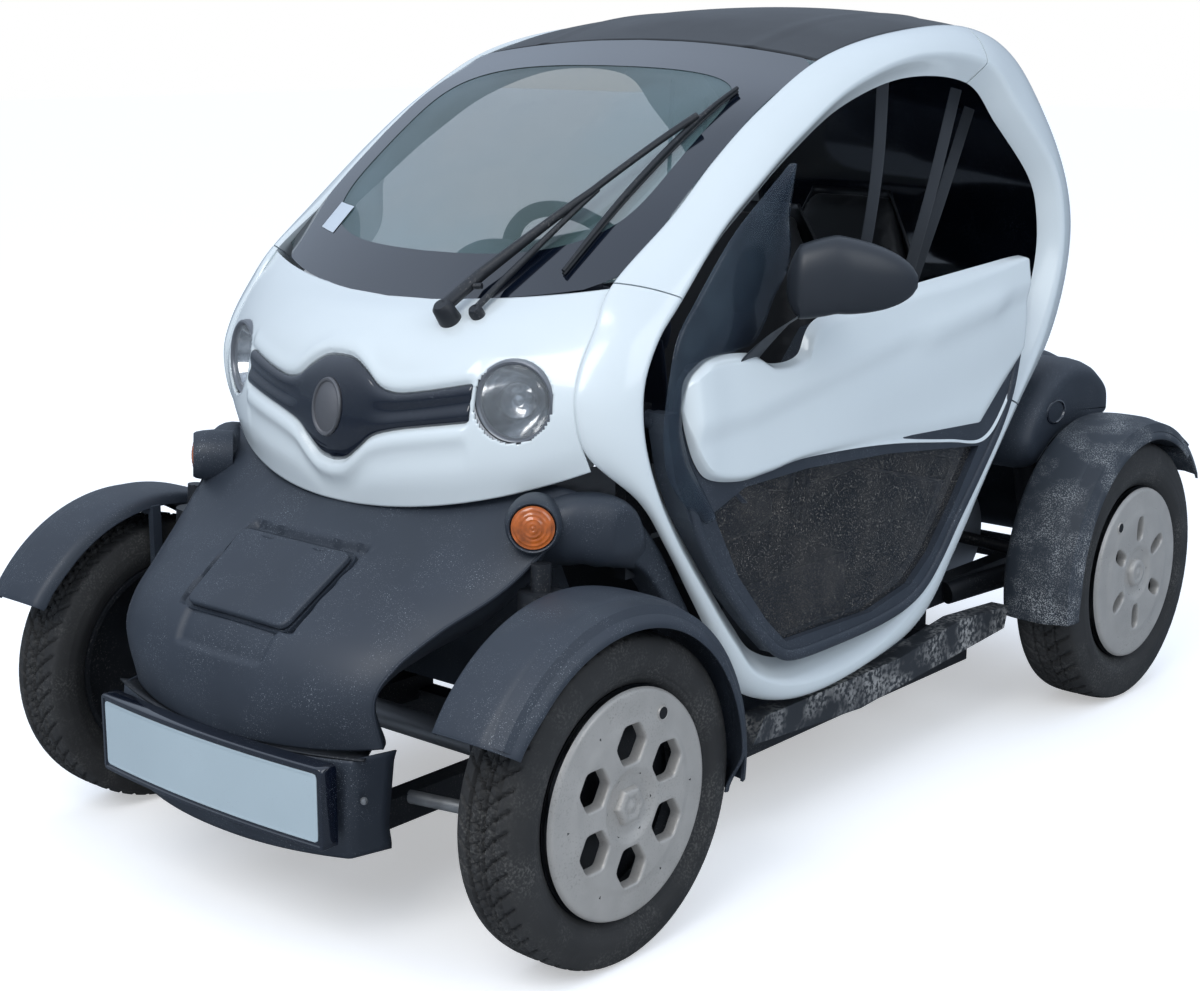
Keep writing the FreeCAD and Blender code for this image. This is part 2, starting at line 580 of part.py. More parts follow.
def build_chassis():
    rail = block(RAIL_X - RAIL_W / 2, RAIL_X + RAIL_W / 2, 340, 1340, RAIL_Z0, RAIL_Z0 + RAIL_H)
    front_rail = block(FRONT_RAIL_X, FRONT_RAIL_X + 40, -250, 380, 165, 212)
    rear_rail = block(REAR_RAIL_X, REAR_RAIL_X + 40, 1300, 1880, 215, 262)
    rear_post = block(REAR_RAIL_X, REAR_RAIL_X + 40, 1840, 1880, 215, 330)
    cross = [block(-RAIL_X - 25, RAIL_X + 25, y, y + 45, RAIL_Z0, RAIL_Z0 + RAIL_H) for y in (340, 820, 1296)]
    risers = [block(FRONT_RAIL_X, FRONT_RAIL_X + 40, 340, 380, RAIL_Z0, 212),
              block(REAR_RAIL_X, REAR_RAIL_X + 40, 1300, 1340, RAIL_Z0, 262)]
    ends = [block(-FRONT_RAIL_X - 40, FRONT_RAIL_X + 40, -250, -218, 165, 212),
            block(-REAR_RAIL_X - 40, REAR_RAIL_X + 40, 1820, 1860, 215, 262)]
    left = [rail, front_rail, rear_rail, rear_post] + risers
    frame = fuse(left + [mirrored(s) for s in left] + cross + ends)
    floor = profile_x(FLOOR, -318, 318)
    for sign in (1, -1):
        low, high = sorted((318 * sign, 441.7 * sign))
        wing = block(low, high, 526, 1172, 183, 201)
        floor = floor.fuse(wing)
    battery = block(-300, 300, 640, 1040, 201 + SEAT_GAP, 400)
    motor = fuse([Part.makeCylinder(110, 260, at(-60, 1640, 300), Vector(1, 0, 0)),
                  block(-150, -60, 1560, 1760, 215, 390)])
    skirt = profile_x(SKIRT, 442, 482)
    arm = rod(at(REAR_RAIL_X + 50, 1400, 240), at(430, 1660, REAR_TYRE_R), 24)
    carrier = Part.makeCylinder(52, 24, at(432, WHEELBASE, REAR_TYRE_R), Vector(1, 0, 0))
    spindle = rod(at(440, WHEELBASE, REAR_TYRE_R), at(REAR_TRACK / 2 + 38, WHEELBASE, REAR_TYRE_R), SPINDLE_R)
    rear_arm = fuse([arm, carrier, spindle])
    strut = fuse([rod(at(400, 1640, 330), at(380, 1610, 560), 18),
                  rod(at(397, 1636, 370), at(383, 1614, 530), 38)])
    shaft = rod(at(200, WHEELBASE - 46, 300), at(430, WHEELBASE - 10, REAR_TYRE_R), 14)
    guard = wheel_guard(at(REAR_TRACK / 2 + 2, WHEELBASE, REAR_TYRE_R), REAR_GUARD, 78)
    stay = block(450, 461, WHEELBASE - 12, WHEELBASE + 12, REAR_TYRE_R + 40, REAR_TYRE_R + 302)
    stay = stay.fuse(block(450, 500, WHEELBASE - 12, WHEELBASE + 12, REAR_TYRE_R + 292, REAR_TYRE_R + 306))
    tip_y = WHEELBASE + REAR_OVERHANG
    tail = Part.makeLoft([
        polygon([at(x, y, z) for x, y, z in
                 ((mid - half, level, low), (mid + half, level, low), (mid + half, level, high),
                  (mid - half, level, high))])
        for mid, half, level, low, high in
        ((REAR_TRACK / 2 + 2, 62, tip_y - 95, 498, 510), (REAR_TRACK / 2 + 2, 44, tip_y - 45, 491, 502),
         (REAR_TRACK / 2 + 2, 16, tip_y, 486, 491))], True, True)
    guard = fuse([guard, stay, tail])
    return {
        "chassis_frame": frame,
        "floor_pan": floor.removeSplitter(),
        "battery_pack": battery,
        "motor_unit": motor,
        "sill_skirts": pair(skirt),
        "rear_arms": pair(rear_arm),
        "rear_struts": pair(strut),
        "drive_shafts": pair(shaft),
        "rear_mudguards": pair(guard),
    }


def build_cabin():
    dash = profile_x(DASH, -290, 290)
    driver = profile_x(SEAT_DRIVER, -215, 215)
    passenger = profile_x(SEAT_PASSENGER, -175, 175)
    binnacle = profile_x(BINNACLE, -115, 115)
    dash = fuse([dash, binnacle])
    arm = [at(172, 62, 972), screen_point(262, 0.62, 30), screen_point(320, 0.95, 24)]
    blade = [screen_point(305, 0.12, 17), screen_point(318, 0.8, 17), screen_point(330, 1.5, 17),
             screen_point(335, 2.2, 17)]
    wiper = fuse([bar(arm, 8), bar(blade, 6), rod(at(172, 62, 972), at(172, 92, 920), 15)])
    return {
        "dashboard": dash,
        "driver_seat": driver,
        "passenger_seat": passenger,
        "windscreen": shell_loft(SCREEN, 0.0, -GLASS_T),
        "roof_panel": shell_loft(ROOF, 0.0, -12.0),
        "wiper": wiper,
    }


def screen_point(x, level, stand):
    """A point at x on the windscreen, standing off it; level counts the screen's rows."""
    row = min(int(level), len(SCREEN) - 2)
    share = level - row
    low, high = SCREEN[row], SCREEN[row + 1]
    ex, ey, ez, my, mz, ny, nz = [a + (b - a) * share for a, b in zip(low, high)]
    side = (x / ex) ** 2
    size = math.hypot(ny, nz)
    return at(x, my + (ey - my) * side + ny / size * stand, mz + (ez - mz) * side + nz / size * stand)


def bar(points, radius):
    """A round bar along straight runs, with a ball at each bend."""
    runs = [rod(a, b, radius) for a, b in zip(points, points[1:])]
    bends = [Part.makeSphere(radius, p) for p in points]
    return fuse(runs + bends)


def mirror_head():
    """The swept-back mirror housing: rounded sections along its length."""
    table = [(556, 500, 1000, 20, 34), (590, 520, 1010, 36, 60), (640, 560, 1018, 38, 64),
             (MIRROR_HALF_WIDTH - 29, 605, 1012, 26, 46),
             (MIRROR_HALF_WIDTH - 15, 636, 1006, 8, 16)]
    wires = []
    depth_way = Vector(-0.66, 0.75, 0).normalize()
    for x, y, z, half_depth, half_height in table:
        centre = at(x, y, z)
        top = centre + Vector(0, 0, half_height)
        back = centre + depth_way * half_depth
        wires.append(Part.Wire([Part.Ellipse(top, back, centre).toShape()]))
    return loft(wires)


def hinge_axis():
    lean = math.radians(HINGE_LEAN)
    return Vector(math.cos(lean), 0, -math.sin(lean))


def build_doors():
    frame = side_plate(DOOR_FRAME, DOOR_INNER_W, DOOR_OUTER_W)
    frame = frame.cut(side_plate(DOOR_LIGHT, DOOR_INNER_W - 5, DOOR_OUTER_W + 5))
    pivot = on_side(DOOR_INNER_W, HINGE_Y, HINGE_Z)
    boss = Part.makeCylinder(15, 22, pivot - hinge_axis() * 14, hinge_axis())
    bore = Part.makeCylinder(HINGE_PIN_R + RUNNING_FIT, 60, pivot - hinge_axis() * 20, hinge_axis())
    frame = fuse([frame, boss]).cut(bore)
    pin = Part.makeCylinder(HINGE_PIN_R, 60, pivot - hinge_axis() * 32, hinge_axis())
    post = block(418, 440, 190, 254, 560, 824)
    foot = block(418, 440, 190, 335, 545, 600)
    bracket = fuse([pin, post, foot])
    light = side_plate(DOOR_LIGHT, -16.0, -11.0)
    skin = side_plate(DOOR_SKIN, DOOR_OUTER_W + SEAT_GAP, DOOR_OUTER_W + SEAT_GAP + SKIN_T)
    deflector = side_plate(DEFLECTOR, DEFLECTOR_W, DEFLECTOR_W + DEFLECTOR_T)
    stalk = side_plate([(451, 976), (390, 925), (470, 905), (532, 900), (573, 937), (560, 1000), (480, 1010)], 12, 90)
    head = fuse([mirror_head(), stalk])
    parts = {"door_frame": frame, "door_skin": skin, "door_glazing": Part.makeCompound([light, deflector]),
             "mirror": head}
    out = {"door_hinges": pair(bracket)}
    for name, shape in parts.items():
        out[name + "_left"] = shape
        out[name + "_right"] = mirrored(shape)
    return out


# Pieces that end against another: the first is trimmed to the second
TRIMS = [("wiper", "nose_panel"), ("door_hinges", "front_body"), ("chassis_frame", "rear_body"),
         ("nose_panel", "front_body"), ("bumper", "front_body"), ("floor_pan", "chassis_frame"),
         ("front_arms", "chassis_frame"), ("rear_arms", "chassis_frame"),
         ("dashboard", "steering_column"), ("drive_shafts", "motor_unit"), ("drive_shafts", "rear_arms"),
         ("front_struts", "front_body"), ("rear_struts", "rear_body"), ("rear_mudguards", "rear_arms"),
         ("door_glazing_left", "door_skin_left"), ("door_glazing_right", "door_skin_right"),
         ("mirror_left", "door_skin_left"), ("mirror_right", "door_skin_right"),
         ("mirror_left", "door_glazing_left"), ("mirror_right", "door_glazing_right")]


def main():
    os.makedirs("parts", exist_ok=True)
    nodes = {}
    for build in (build_hoops, build_nose, build_front, build_rear, build_wheels, build_steering,
                  build_chassis, build_cabin, build_doors):
        nodes.update(build())
    for name, cutter in TRIMS:
        kept = [s for s in nodes[name].cut(nodes[cutter]).Solids if s.Volume > SLIVER_VOLUME]
        nodes[name] = kept[0] if len(kept) == 1 else Part.makeCompound(kept)
    for name, shape in sorted(nodes.items()):
        if not shape.isValid():
            print(name, "is not valid")
        print(name, len(shape.Solids), "solids,", round(shape.Volume / 1000.0, 1), "cm3")
        shape.exportStep("parts/" + name + ".step")


main()
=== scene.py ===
"""The looks of an electric quadricycle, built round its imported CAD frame.

Lengths in the tables are millimetres: x to the vehicle's left, y behind the front axle, z up.
"""
import math

import bmesh
import bpy
import numpy as np
from mathutils import Matrix, Vector


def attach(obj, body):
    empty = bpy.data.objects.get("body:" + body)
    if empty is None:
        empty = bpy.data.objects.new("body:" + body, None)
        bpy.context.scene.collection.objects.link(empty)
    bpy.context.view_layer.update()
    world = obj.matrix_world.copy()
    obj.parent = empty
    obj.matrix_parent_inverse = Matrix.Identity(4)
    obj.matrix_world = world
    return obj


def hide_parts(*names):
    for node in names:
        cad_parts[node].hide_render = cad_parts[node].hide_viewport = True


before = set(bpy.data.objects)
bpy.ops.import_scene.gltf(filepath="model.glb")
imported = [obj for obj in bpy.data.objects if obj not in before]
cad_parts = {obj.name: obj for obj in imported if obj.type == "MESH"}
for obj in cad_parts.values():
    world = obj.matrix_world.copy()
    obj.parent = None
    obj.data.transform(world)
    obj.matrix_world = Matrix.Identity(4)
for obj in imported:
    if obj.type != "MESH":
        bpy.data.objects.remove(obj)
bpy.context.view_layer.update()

AXLE_Y = -836.0
WHEELBASE = 1686.0
SIDE_SILL_X, SIDE_SILL_Z, SIDE_LEAN = 515.0, 300.0, math.tan(math.radians(3.0))
PANEL_X = 398.7
MM = 0.001
OUTLINE_STEPS = 200

# Meshes

def metres(points):
    """Table millimetres to the frame's metres."""
    p = np.array(points, float)
    p[..., 1] += AXLE_Y
    return p * MM


def side_x(z):
    """The leaned side plane: x falls by the tangent of 3 degrees for each unit of height."""
    return SIDE_SILL_X - (z - SIDE_SILL_Z) * SIDE_LEAN


def read_rows(table, level, closed=False):
    """Rows of a table read at fractional levels along a Catmull-Rom curve through them."""
    p = np.asarray(table, float)
    if closed:
        p = np.vstack([p[-1:], p, p[:2]])
    else:
        p = np.vstack([2 * p[0] - p[1], p, 2 * p[-1] - p[-2]])
    level = np.asarray(level, float)
    i = np.clip(level.astype(int), 0, len(p) - 4)
    t = (level - i)[..., None]
    a, b, c, d = p[i], p[i + 1], p[i + 2], p[i + 3]
    return 0.5 * (2 * b + (c - a) * t + (2 * a - 5 * b + 4 * c - d) * t ** 2
                  + (3 * b - a - 3 * c + d) * t ** 3)


def resampled(line, count, endpoint=True):
    """A line walked at even steps."""
    run = np.r_[0, np.cumsum(np.linalg.norm(np.diff(line, axis=0), axis=1))]
    at = np.linspace(0, run[-1], count, endpoint=endpoint)
    return np.stack([np.interp(at, run, line[:, k]) for k in range(line.shape[1])], 1)


def curve(points, count, closed=False):
    """A Catmull-Rom curve through the points, resampled to evenly spaced points."""
    spans = len(points) - (0 if closed else 1)
    return resampled(read_rows(points, np.linspace(0, spans, spans * 16 + 1), closed), count)


def smooth(x, low, high):
    """Smoothstep of x between two values."""
    t = np.clip((x - low) / (high - low), 0, 1)
    return t * t * (3 - 2 * t)


def bump(x, middle, width):
    """A bell of height 1 round a middle: the Gaussian of the distance over the width."""
    return np.exp(-((x - middle) / width) ** 2)


def grid(points, wrap_u=False, wrap_v=False, flip=False):
    """Quads over a grid of points (u, v, xyz); a direction that wraps joins its last row to its first."""
    nu, nv = points.shape[:2]
    index = np.arange(nu * nv).reshape(nu, nv)
    if wrap_u:
        index = np.vstack([index, index[:1]])
    if wrap_v:
        index = np.hstack([index, index[:, :1]])
    quads = np.stack([index[:-1, :-1], index[1:, :-1], index[1:, 1:], index[:-1, 1:]], -1).reshape(-1, 4)
    return points.reshape(-1, 3), quads[:, ::-1] if flip else quads


def joined(*parts):
    """Several meshes (points, quads) as one."""
    offset, points, quads = 0, [], []
    for p, q in parts:
        points.append(p)
        quads.append(q + offset)
        offset += len(p)
    return np.vstack(points), np.vstack(quads)


def mirrored(part):
    """A mesh on the other side of the vehicle, its faces still outward."""
    p, q = part
    return p * (-1, 1, 1), q[:, ::-1]


def both(part):
    return joined(part, mirrored(part))


SIDED = (("left", lambda part: part), ("right", mirrored))


def unit(v):
    return v / np.linalg.norm(v, axis=-1, keepdims=True)


def turns(count):
    """Angles spread evenly round a circle."""
    return np.linspace(0, 2 * np.pi, count, endpoint=False)


def signed_power(v, p):
    return np.sign(v) * np.abs(v) ** p


def superellipse(count, p, q, start=0.0):
    """The two coordinates of a superellipse's points: signed powers of the cosine and the sine."""
    turn = turns(count) + start
    return signed_power(np.cos(turn), p), signed_power(np.sin(turn), q)


def bend(start, corner, end, t):
    """A quadratic curve from start to end, drawn toward the corner."""
    return start * (1 - t) ** 2 + corner * 2 * t * (1 - t) + end * t * t


def ends_closed(rings):
    """A carried closed section with both ends closed onto their middles."""
    first, last = (np.repeat(ring.mean(1, keepdims=True), rings.shape[1], 1)
                   for ring in (rings[:1], rings[-1:]))
    return grid(np.concatenate([first, rings, last]), wrap_v=True)


def carried(path, section, wide, across, tall, up):
    """A section of two coordinates carried along a path: the first goes across by its
    width, the second up by its height."""
    across, up = (np.broadcast_to(way, path.shape)[:, None] for way in (across, up))
    wide, tall = (np.broadcast_to(size, len(path))[:, None, None] for size in (wide, tall))
    a, b = (values[None, :, None] for values in section)
    return path[:, None] + wide * a * across + tall * b * up


def tube(path, radius, sides=12, taper=1.0):
    """A round bar: circles of the radius carried along a path, square to it."""
    path = np.asarray(path, float)
    way = unit(np.gradient(path, axis=0))
    side = unit(np.cross(way, (0.03, 0.05, 1.0)))
    size, top = radius * taper, np.cross(side, way)
    return ends_closed(carried(path, superellipse(sides, 1, 1), size, side, size, top))


def turned(profile, centre, axis, steps=64):
    """A profile of (distance along the axis, radius) turned about the axis."""
    axis = unit(np.asarray(axis, float))
    side = unit(np.array((0, 0, 1.0)) - axis * axis[2])
    turn = turns(steps)[:, None, None]
    along, radius = np.asarray(profile, float).T[:, None, :, None]
    return grid(np.asarray(centre) + axis * along
                + radius * (side * np.cos(turn) + np.cross(axis, side) * np.sin(turn)), wrap_u=True)


def plate(outline, stations, to_space, flip=False):
    """A plate with rounded rims: its outline (n, 2) shrunk and raised by stations (shrink, height).

    The outline runs anticlockwise and moves inward along its own normals, and the last station closes
    onto its middle.
    """
    p = resampled(np.vstack([outline, outline[:1]]), OUTLINE_STEPS, endpoint=False)
    way = unit(np.roll(p, -1, 0) - np.roll(p, 1, 0))
    inward = np.stack([-way[:, 1], way[:, 0]], 1)
    rows = [np.column_stack([p + inward * shrink, np.full(len(p), height)]) for shrink, height in stations]
    middle = rows[-1].mean(0)
    rows += [middle + (rows[-1] - middle) * share for share in (0.84, 0.68, 0.52, 0.36, 0.2, 0.08, 0.0)]
    return grid(to_space(np.stack(rows)), wrap_v=True, flip=not flip)


def linked(name, data):
    obj = bpy.data.objects.new(name, data)
    bpy.context.collection.objects.link(obj)
    return obj


def merge_close(mesh):
    """Joins points that fall together, so that seams and poles are closed."""
    work = bmesh.new()
    work.from_mesh(mesh)
    bmesh.ops.remove_doubles(work, verts=work.verts, dist=2e-6)
    bmesh.ops.dissolve_degenerate(work, edges=work.edges, dist=1e-6)
    work.to_mesh(mesh)
    work.free()


def piece(name, part, material, body, replaces=(), solid=0.0, bevel=0.0, sharp=40.0):
    """Puts a mesh (millimetres) into the scene as a finished piece that rides on a body. Edges over
    the sharp angle keep a hard shade."""
    points, quads = part
    mesh = bpy.data.meshes.new(name)
    mesh.from_pydata(metres(points).tolist(), [], quads.tolist())
    mesh.validate()
    obj = linked(name, mesh)
    merge_close(mesh)
    mesh.materials.append(material)
    mesh.polygons.foreach_set("use_smooth", [True] * len(mesh.polygons))
    if solid:
        wall = obj.modifiers.new("wall", "SOLIDIFY")
        wall.thickness, wall.offset = solid * MM, -1.0
    if bevel:
        edge = obj.modifiers.new("edge", "BEVEL")
        edge.width, edge.segments, edge.limit_method = bevel * MM, 2, "ANGLE"
        edge.angle_limit = math.radians(sharp)
    mesh.set_sharp_from_angle(angle=math.radians(sharp))
    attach(obj, body)
    if replaces:
        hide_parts(*replaces)
    return obj


# Finishes

def nodes_of(name):
    material = bpy.data.materials.new(name)
    material.use_nodes = True
    return material, material.node_tree, material.node_tree.nodes["Principled BSDF"]


def feed(tree, node, inputs):
    """Fills a node's inputs, each from another node's socket or with a value."""
    for key, value in inputs.items():
        if isinstance(value, bpy.types.NodeSocket):
            tree.links.new(value, node.inputs[key])
        else:
            node.inputs[key].default_value = value


def fed(tree, kind, inputs, **settings):
    node = tree.nodes.new("ShaderNode" + kind)
    for key, value in settings.items():
        setattr(node, key, value)
    feed(tree, node, inputs)
    return node


def place_in(tree, space="Object"):
    return fed(tree, "TexCoord", {}).outputs[space]


def noise(tree, scale, detail):
    return fed(tree, "TexNoise", {"Vector": place_in(tree), "Scale": scale, "Detail": detail}).outputs["Fac"]


def ramp(tree, source, low, high, start=(0, 0, 0, 1), end=(1, 1, 1, 1)):
    node = fed(tree, "ValToRGB", {"Fac": source})
    for stop, place, colour in zip(node.color_ramp.elements, (low, high), (start, end)):
        stop.position, stop.color = place, colour
    return node.outputs["Color"]


def mix(tree, factor, a, b):
    return fed(tree, "Mix", {0: factor, 6: a, 7: b}, data_type="RGBA").outputs[2]


def product(tree, a, b, how="MULTIPLY"):
    return fed(tree, "Math", {0: a, 1: b}, operation=how).outputs[0]


def spread(tree, value, low, high, end="To"):
    """A value carried to the span from low to high or, with the end "From", carried from it."""
    return fed(tree, "MapRange", {"Value": value, end + " Min": low, end + " Max": high}).outputs["Result"]


def height_in(tree, space="Object"):
    return fed(tree, "SeparateXYZ", {0: place_in(tree, space)}).outputs["Z"]


def seen(tree):
    """1 where the camera sees a surface, straight or through glass."""
    paths = fed(tree, "LightPath", {})
    return product(tree, paths.outputs["Is Camera Ray"], paths.outputs["Is Transmission Ray"], "MAXIMUM")


def finish(name, colour, rough, shade=0.85, cloud=6.0, grain=900.0, grain_depth=0.0, metal=0.0, coat=0.0,
           dust=None, dust_scale=420.0, dust_cut=(0.60, 0.68), dust_low=None, sheen=0.0, rough_range=0.08):
    """A surface whose colour and roughness drift with a soft cloud, with a fine grain as bump.

    Dust is a second colour where a fine noise passes a cut inside a patchy cloud, and may fade
    with height between the two heights of dust_low.
    """
    material, tree, shader = nodes_of(name)
    drift = noise(tree, cloud, 5.0)
    out = mix(tree, ramp(tree, drift, 0.3, 0.7), (*(c * shade for c in colour), 1), (*colour, 1))
    if dust:
        amount = product(tree, ramp(tree, noise(tree, dust_scale, 2.0), *dust_cut),
                         ramp(tree, noise(tree, 14.0, 3.0), 0.42, 0.72))
        if dust_low:
            amount = product(tree, amount, spread(tree, height_in(tree), *dust_low, "From"))
        out = mix(tree, amount, out, (*dust, 1))
    rough_out = spread(tree, drift, max(rough - rough_range, 0.02), min(rough + rough_range, 1.0))
    feed(tree, shader, {"Base Color": out, "Roughness": rough_out, "Metallic": metal, "Coat Weight": coat,
                        "Coat Roughness": 0.06, "Sheen Weight": sheen})
    if grain_depth:
        relief = fed(tree, "Bump", {"Distance": grain_depth * MM, "Strength": 0.6,
                                    "Height": noise(tree, grain, 3.0)})
        feed(tree, shader, {"Normal": relief.outputs["Normal"]})
    return material

WHITE = finish("pale_paint", (0.71, 0.76, 0.765), 0.22, shade=0.96, cloud=3.0, coat=0.6,
               dust=(0.55, 0.58, 0.58), dust_scale=700.0, dust_cut=(0.66, 0.7), dust_low=(0.5, 0.2))
DARK = finish("grained_plastic", (0.030, 0.038, 0.052), 0.5, shade=0.8, grain=1500.0, grain_depth=0.12,
              dust=(0.30, 0.33, 0.36), dust_scale=560.0, dust_cut=(0.635, 0.685))
DUSTY = finish("dusty_plastic", (0.032, 0.040, 0.052), 0.6, shade=0.75, grain=700.0, grain_depth=0.25,
               dust=(0.42, 0.43, 0.43), dust_cut=(0.50, 0.62))
SCUFFED = finish("scuffed_plastic", (0.030, 0.034, 0.040), 0.65, shade=0.7, grain_depth=0.3,
                 dust=(0.40, 0.39, 0.37), dust_scale=130.0, dust_cut=(0.42, 0.60))
GLOSS = finish("gloss_black", (0.006, 0.009, 0.018), 0.10, shade=0.7, coat=1.0, rough_range=0.03,
               dust=(0.35, 0.38, 0.4), dust_scale=900.0, dust_cut=(0.68, 0.71))
ROOF_BLACK = finish("satin_roof", (0.010, 0.011, 0.013), 0.42, shade=0.7, grain=1400.0, grain_depth=0.08,
                    dust=(0.10, 0.11, 0.12), dust_scale=800.0, dust_cut=(0.60, 0.7))
RUBBER = finish("tyre_rubber", (0.030, 0.029, 0.028), 0.72, shade=0.65, grain=1200.0, grain_depth=0.2,
                dust=(0.085, 0.082, 0.075), dust_scale=260.0, dust_cut=(0.48, 0.66))
SILVER = finish("wheel_silver", (0.49, 0.465, 0.43), 0.42, shade=0.86, cloud=18.0, metal=0.35,
                dust=(0.30, 0.28, 0.25), dust_scale=300.0, dust_cut=(0.55, 0.70))
STEEL = finish("coated_steel", (0.014, 0.016, 0.020), 0.45, shade=0.7, grain_depth=0.1,
               dust=(0.16, 0.15, 0.14), dust_scale=300.0, dust_cut=(0.58, 0.7))
MIRROR_BLACK = finish("mirror_shell", (0.022, 0.026, 0.033), 0.42, shade=0.85, grain=1300.0, grain_depth=0.08)
CAST = finish("bare_casting", (0.20, 0.20, 0.21), 0.5, shade=0.75, metal=0.7, grain=700.0, grain_depth=0.2)
ALLOY = finish("cast_alloy", (0.42, 0.43, 0.45), 0.42, shade=0.8, metal=0.8, grain=800.0, grain_depth=0.15)
SEAT = finish("seat_skin", (0.012, 0.013, 0.016), 0.58, shade=0.75, grain_depth=0.25, sheen=0.15)
WHEEL_GRIP = finish("wheel_grip", (0.016, 0.024, 0.045), 0.45, shade=0.8, grain=1100.0, grain_depth=0.15)
PLATE = finish("plate_face", (0.42, 0.50, 0.53), 0.32, shade=0.95, coat=0.2, dust=(0.32, 0.36, 0.38),
               dust_cut=(0.66, 0.72))
LABEL = finish("blank_label", (0.62, 0.68, 0.74), 0.45, shade=0.95)
BELT = finish("belt_webbing", (0.045, 0.050, 0.058), 0.8, shade=0.8, grain=1500.0, grain_depth=0.3, sheen=0.2)
PALE_METAL = finish("pale_arm", (0.30, 0.31, 0.32), 0.45, shade=0.7, metal=0.5, cloud=40.0)
CHROME = finish("bright_bowl", (0.75, 0.76, 0.77), 0.12, shade=0.8, cloud=30.0, metal=1.0, rough_range=0.05)


def glass(name, colour, clear, grime, cloud, tint=(0.5, 0.55, 0.58), speck=None):
    """A thin sheet: its see-through share falls where a soft cloud of grime lies, and fine specks of dust
    may lie on it."""
    material, tree, shader = nodes_of(name)
    soft = ramp(tree, noise(tree, cloud, 5.0), 0.4, 0.75)
    shown = mix(tree, soft, (*colour, 1), (*tint, 1))
    cover = spread(tree, soft, 1 - clear, min(1 - clear + grime, 1))
    if speck:
        dots = ramp(tree, noise(tree, 420.0, 3.0), 0.55, 0.66)
        shown = mix(tree, dots, shown, (*speck, 1))
        cover = product(tree, cover, dots, "MAXIMUM")
    feed(tree, shader, {"Base Color": shown, "Alpha": cover, "Roughness": 0.03, "IOR": 1.45,
                        "Coat Weight": 0.4})
    return material


CLEAR = glass("clear_glass", (0.060, 0.100, 0.095), 0.44, grime=0.14, tint=(0.16, 0.25, 0.28), cloud=2.2)
LENS = glass("lamp_lens", (0.55, 0.58, 0.60), 0.80, grime=0.05, cloud=40.0)
AMBER = finish("amber_lens", (0.62, 0.15, 0.025), 0.18, shade=0.45, cloud=60.0, coat=0.8)
RED = finish("red_lens", (0.30, 0.008, 0.008), 0.15, shade=0.6, cloud=60.0, coat=0.8)
SMOKED = glass("smoked_panel", (0.012, 0.013, 0.016), 0.40, grime=0.10, cloud=14.0,
               tint=(0.045, 0.040, 0.036), speck=(0.17, 0.155, 0.135))
DEFLECT = glass("tinted_deflector", (0.020, 0.030, 0.048), 0.62, grime=0.12, cloud=9.0,
                tint=(0.04, 0.06, 0.08))
FRIT = finish("dark_frit", (0.004, 0.007, 0.015), 0.08, shade=0.7, coat=1.0, rough_range=0.02)

# The frame's own pieces by finish; a name that ends in _ stands for both sides
NODE_FINISH = (
    (STEEL, "battery_pack chassis_frame door_hinges drive_shafts front_struts rear_arms rear_struts"
            " steering_column wiper"),
    (DARK, "bumper charge_flap dashboard floor_pan front_body rear_body door_frame_ mirror_ mudguard_front_"),
    (WHITE, "hoop_lower hoop_rear hoop_roof nose_panel door_skin_"), (CAST, "steering_rack knuckle_"),
    (GLOSS, "grille_band rear_panel"), (ALLOY, "motor_unit rack_housing"),
    (SEAT, "driver_seat passenger_seat"),
    (RUBBER, "tyre_front_ tyre_rear_"), (SILVER, "wheel_front_ wheel_rear_"), (PALE_METAL, "front_arms"),
    (AMBER, "front_indicators"), (LENS, "headlamp_lenses"), (CHROME, "headlamps"), (PLATE, "number_plate"),
    (DUSTY, "rear_mudguards"), (ROOF_BLACK, "roof_panel"), (SCUFFED, "sill_skirts"), (RED, "tail_lamps"),
    (WHEEL_GRIP, "steering_wheel"), (CLEAR, "windscreen"), (SMOKED, "door_glazing_"))
for surface, names in NODE_FINISH:
    for name in names.split():
        for side in ("left", "right") if name.endswith("_") else ("",):
            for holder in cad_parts[name + side].material_slots:
                holder.material = surface


# Stage

CAMERA_TURN = (40.32, 13.18, 0.21)
CAMERA_AT = (2.4262, -3.0498, 1.4138)
CAMERA_LENS, SENSOR_WIDTH = 60.64, 36.0
LIGHTS = (("key", (1.2, -4.6, 4.4), 3.0, 130.0, (1.0, 0.99, 0.97)),
          ("side", (4.4, -0.6, 3.0), 2.5, 34.0, (0.94, 0.98, 1.0)))
LIT = (0.0, -0.2, 0.6)
FLOOR_HALF = 30


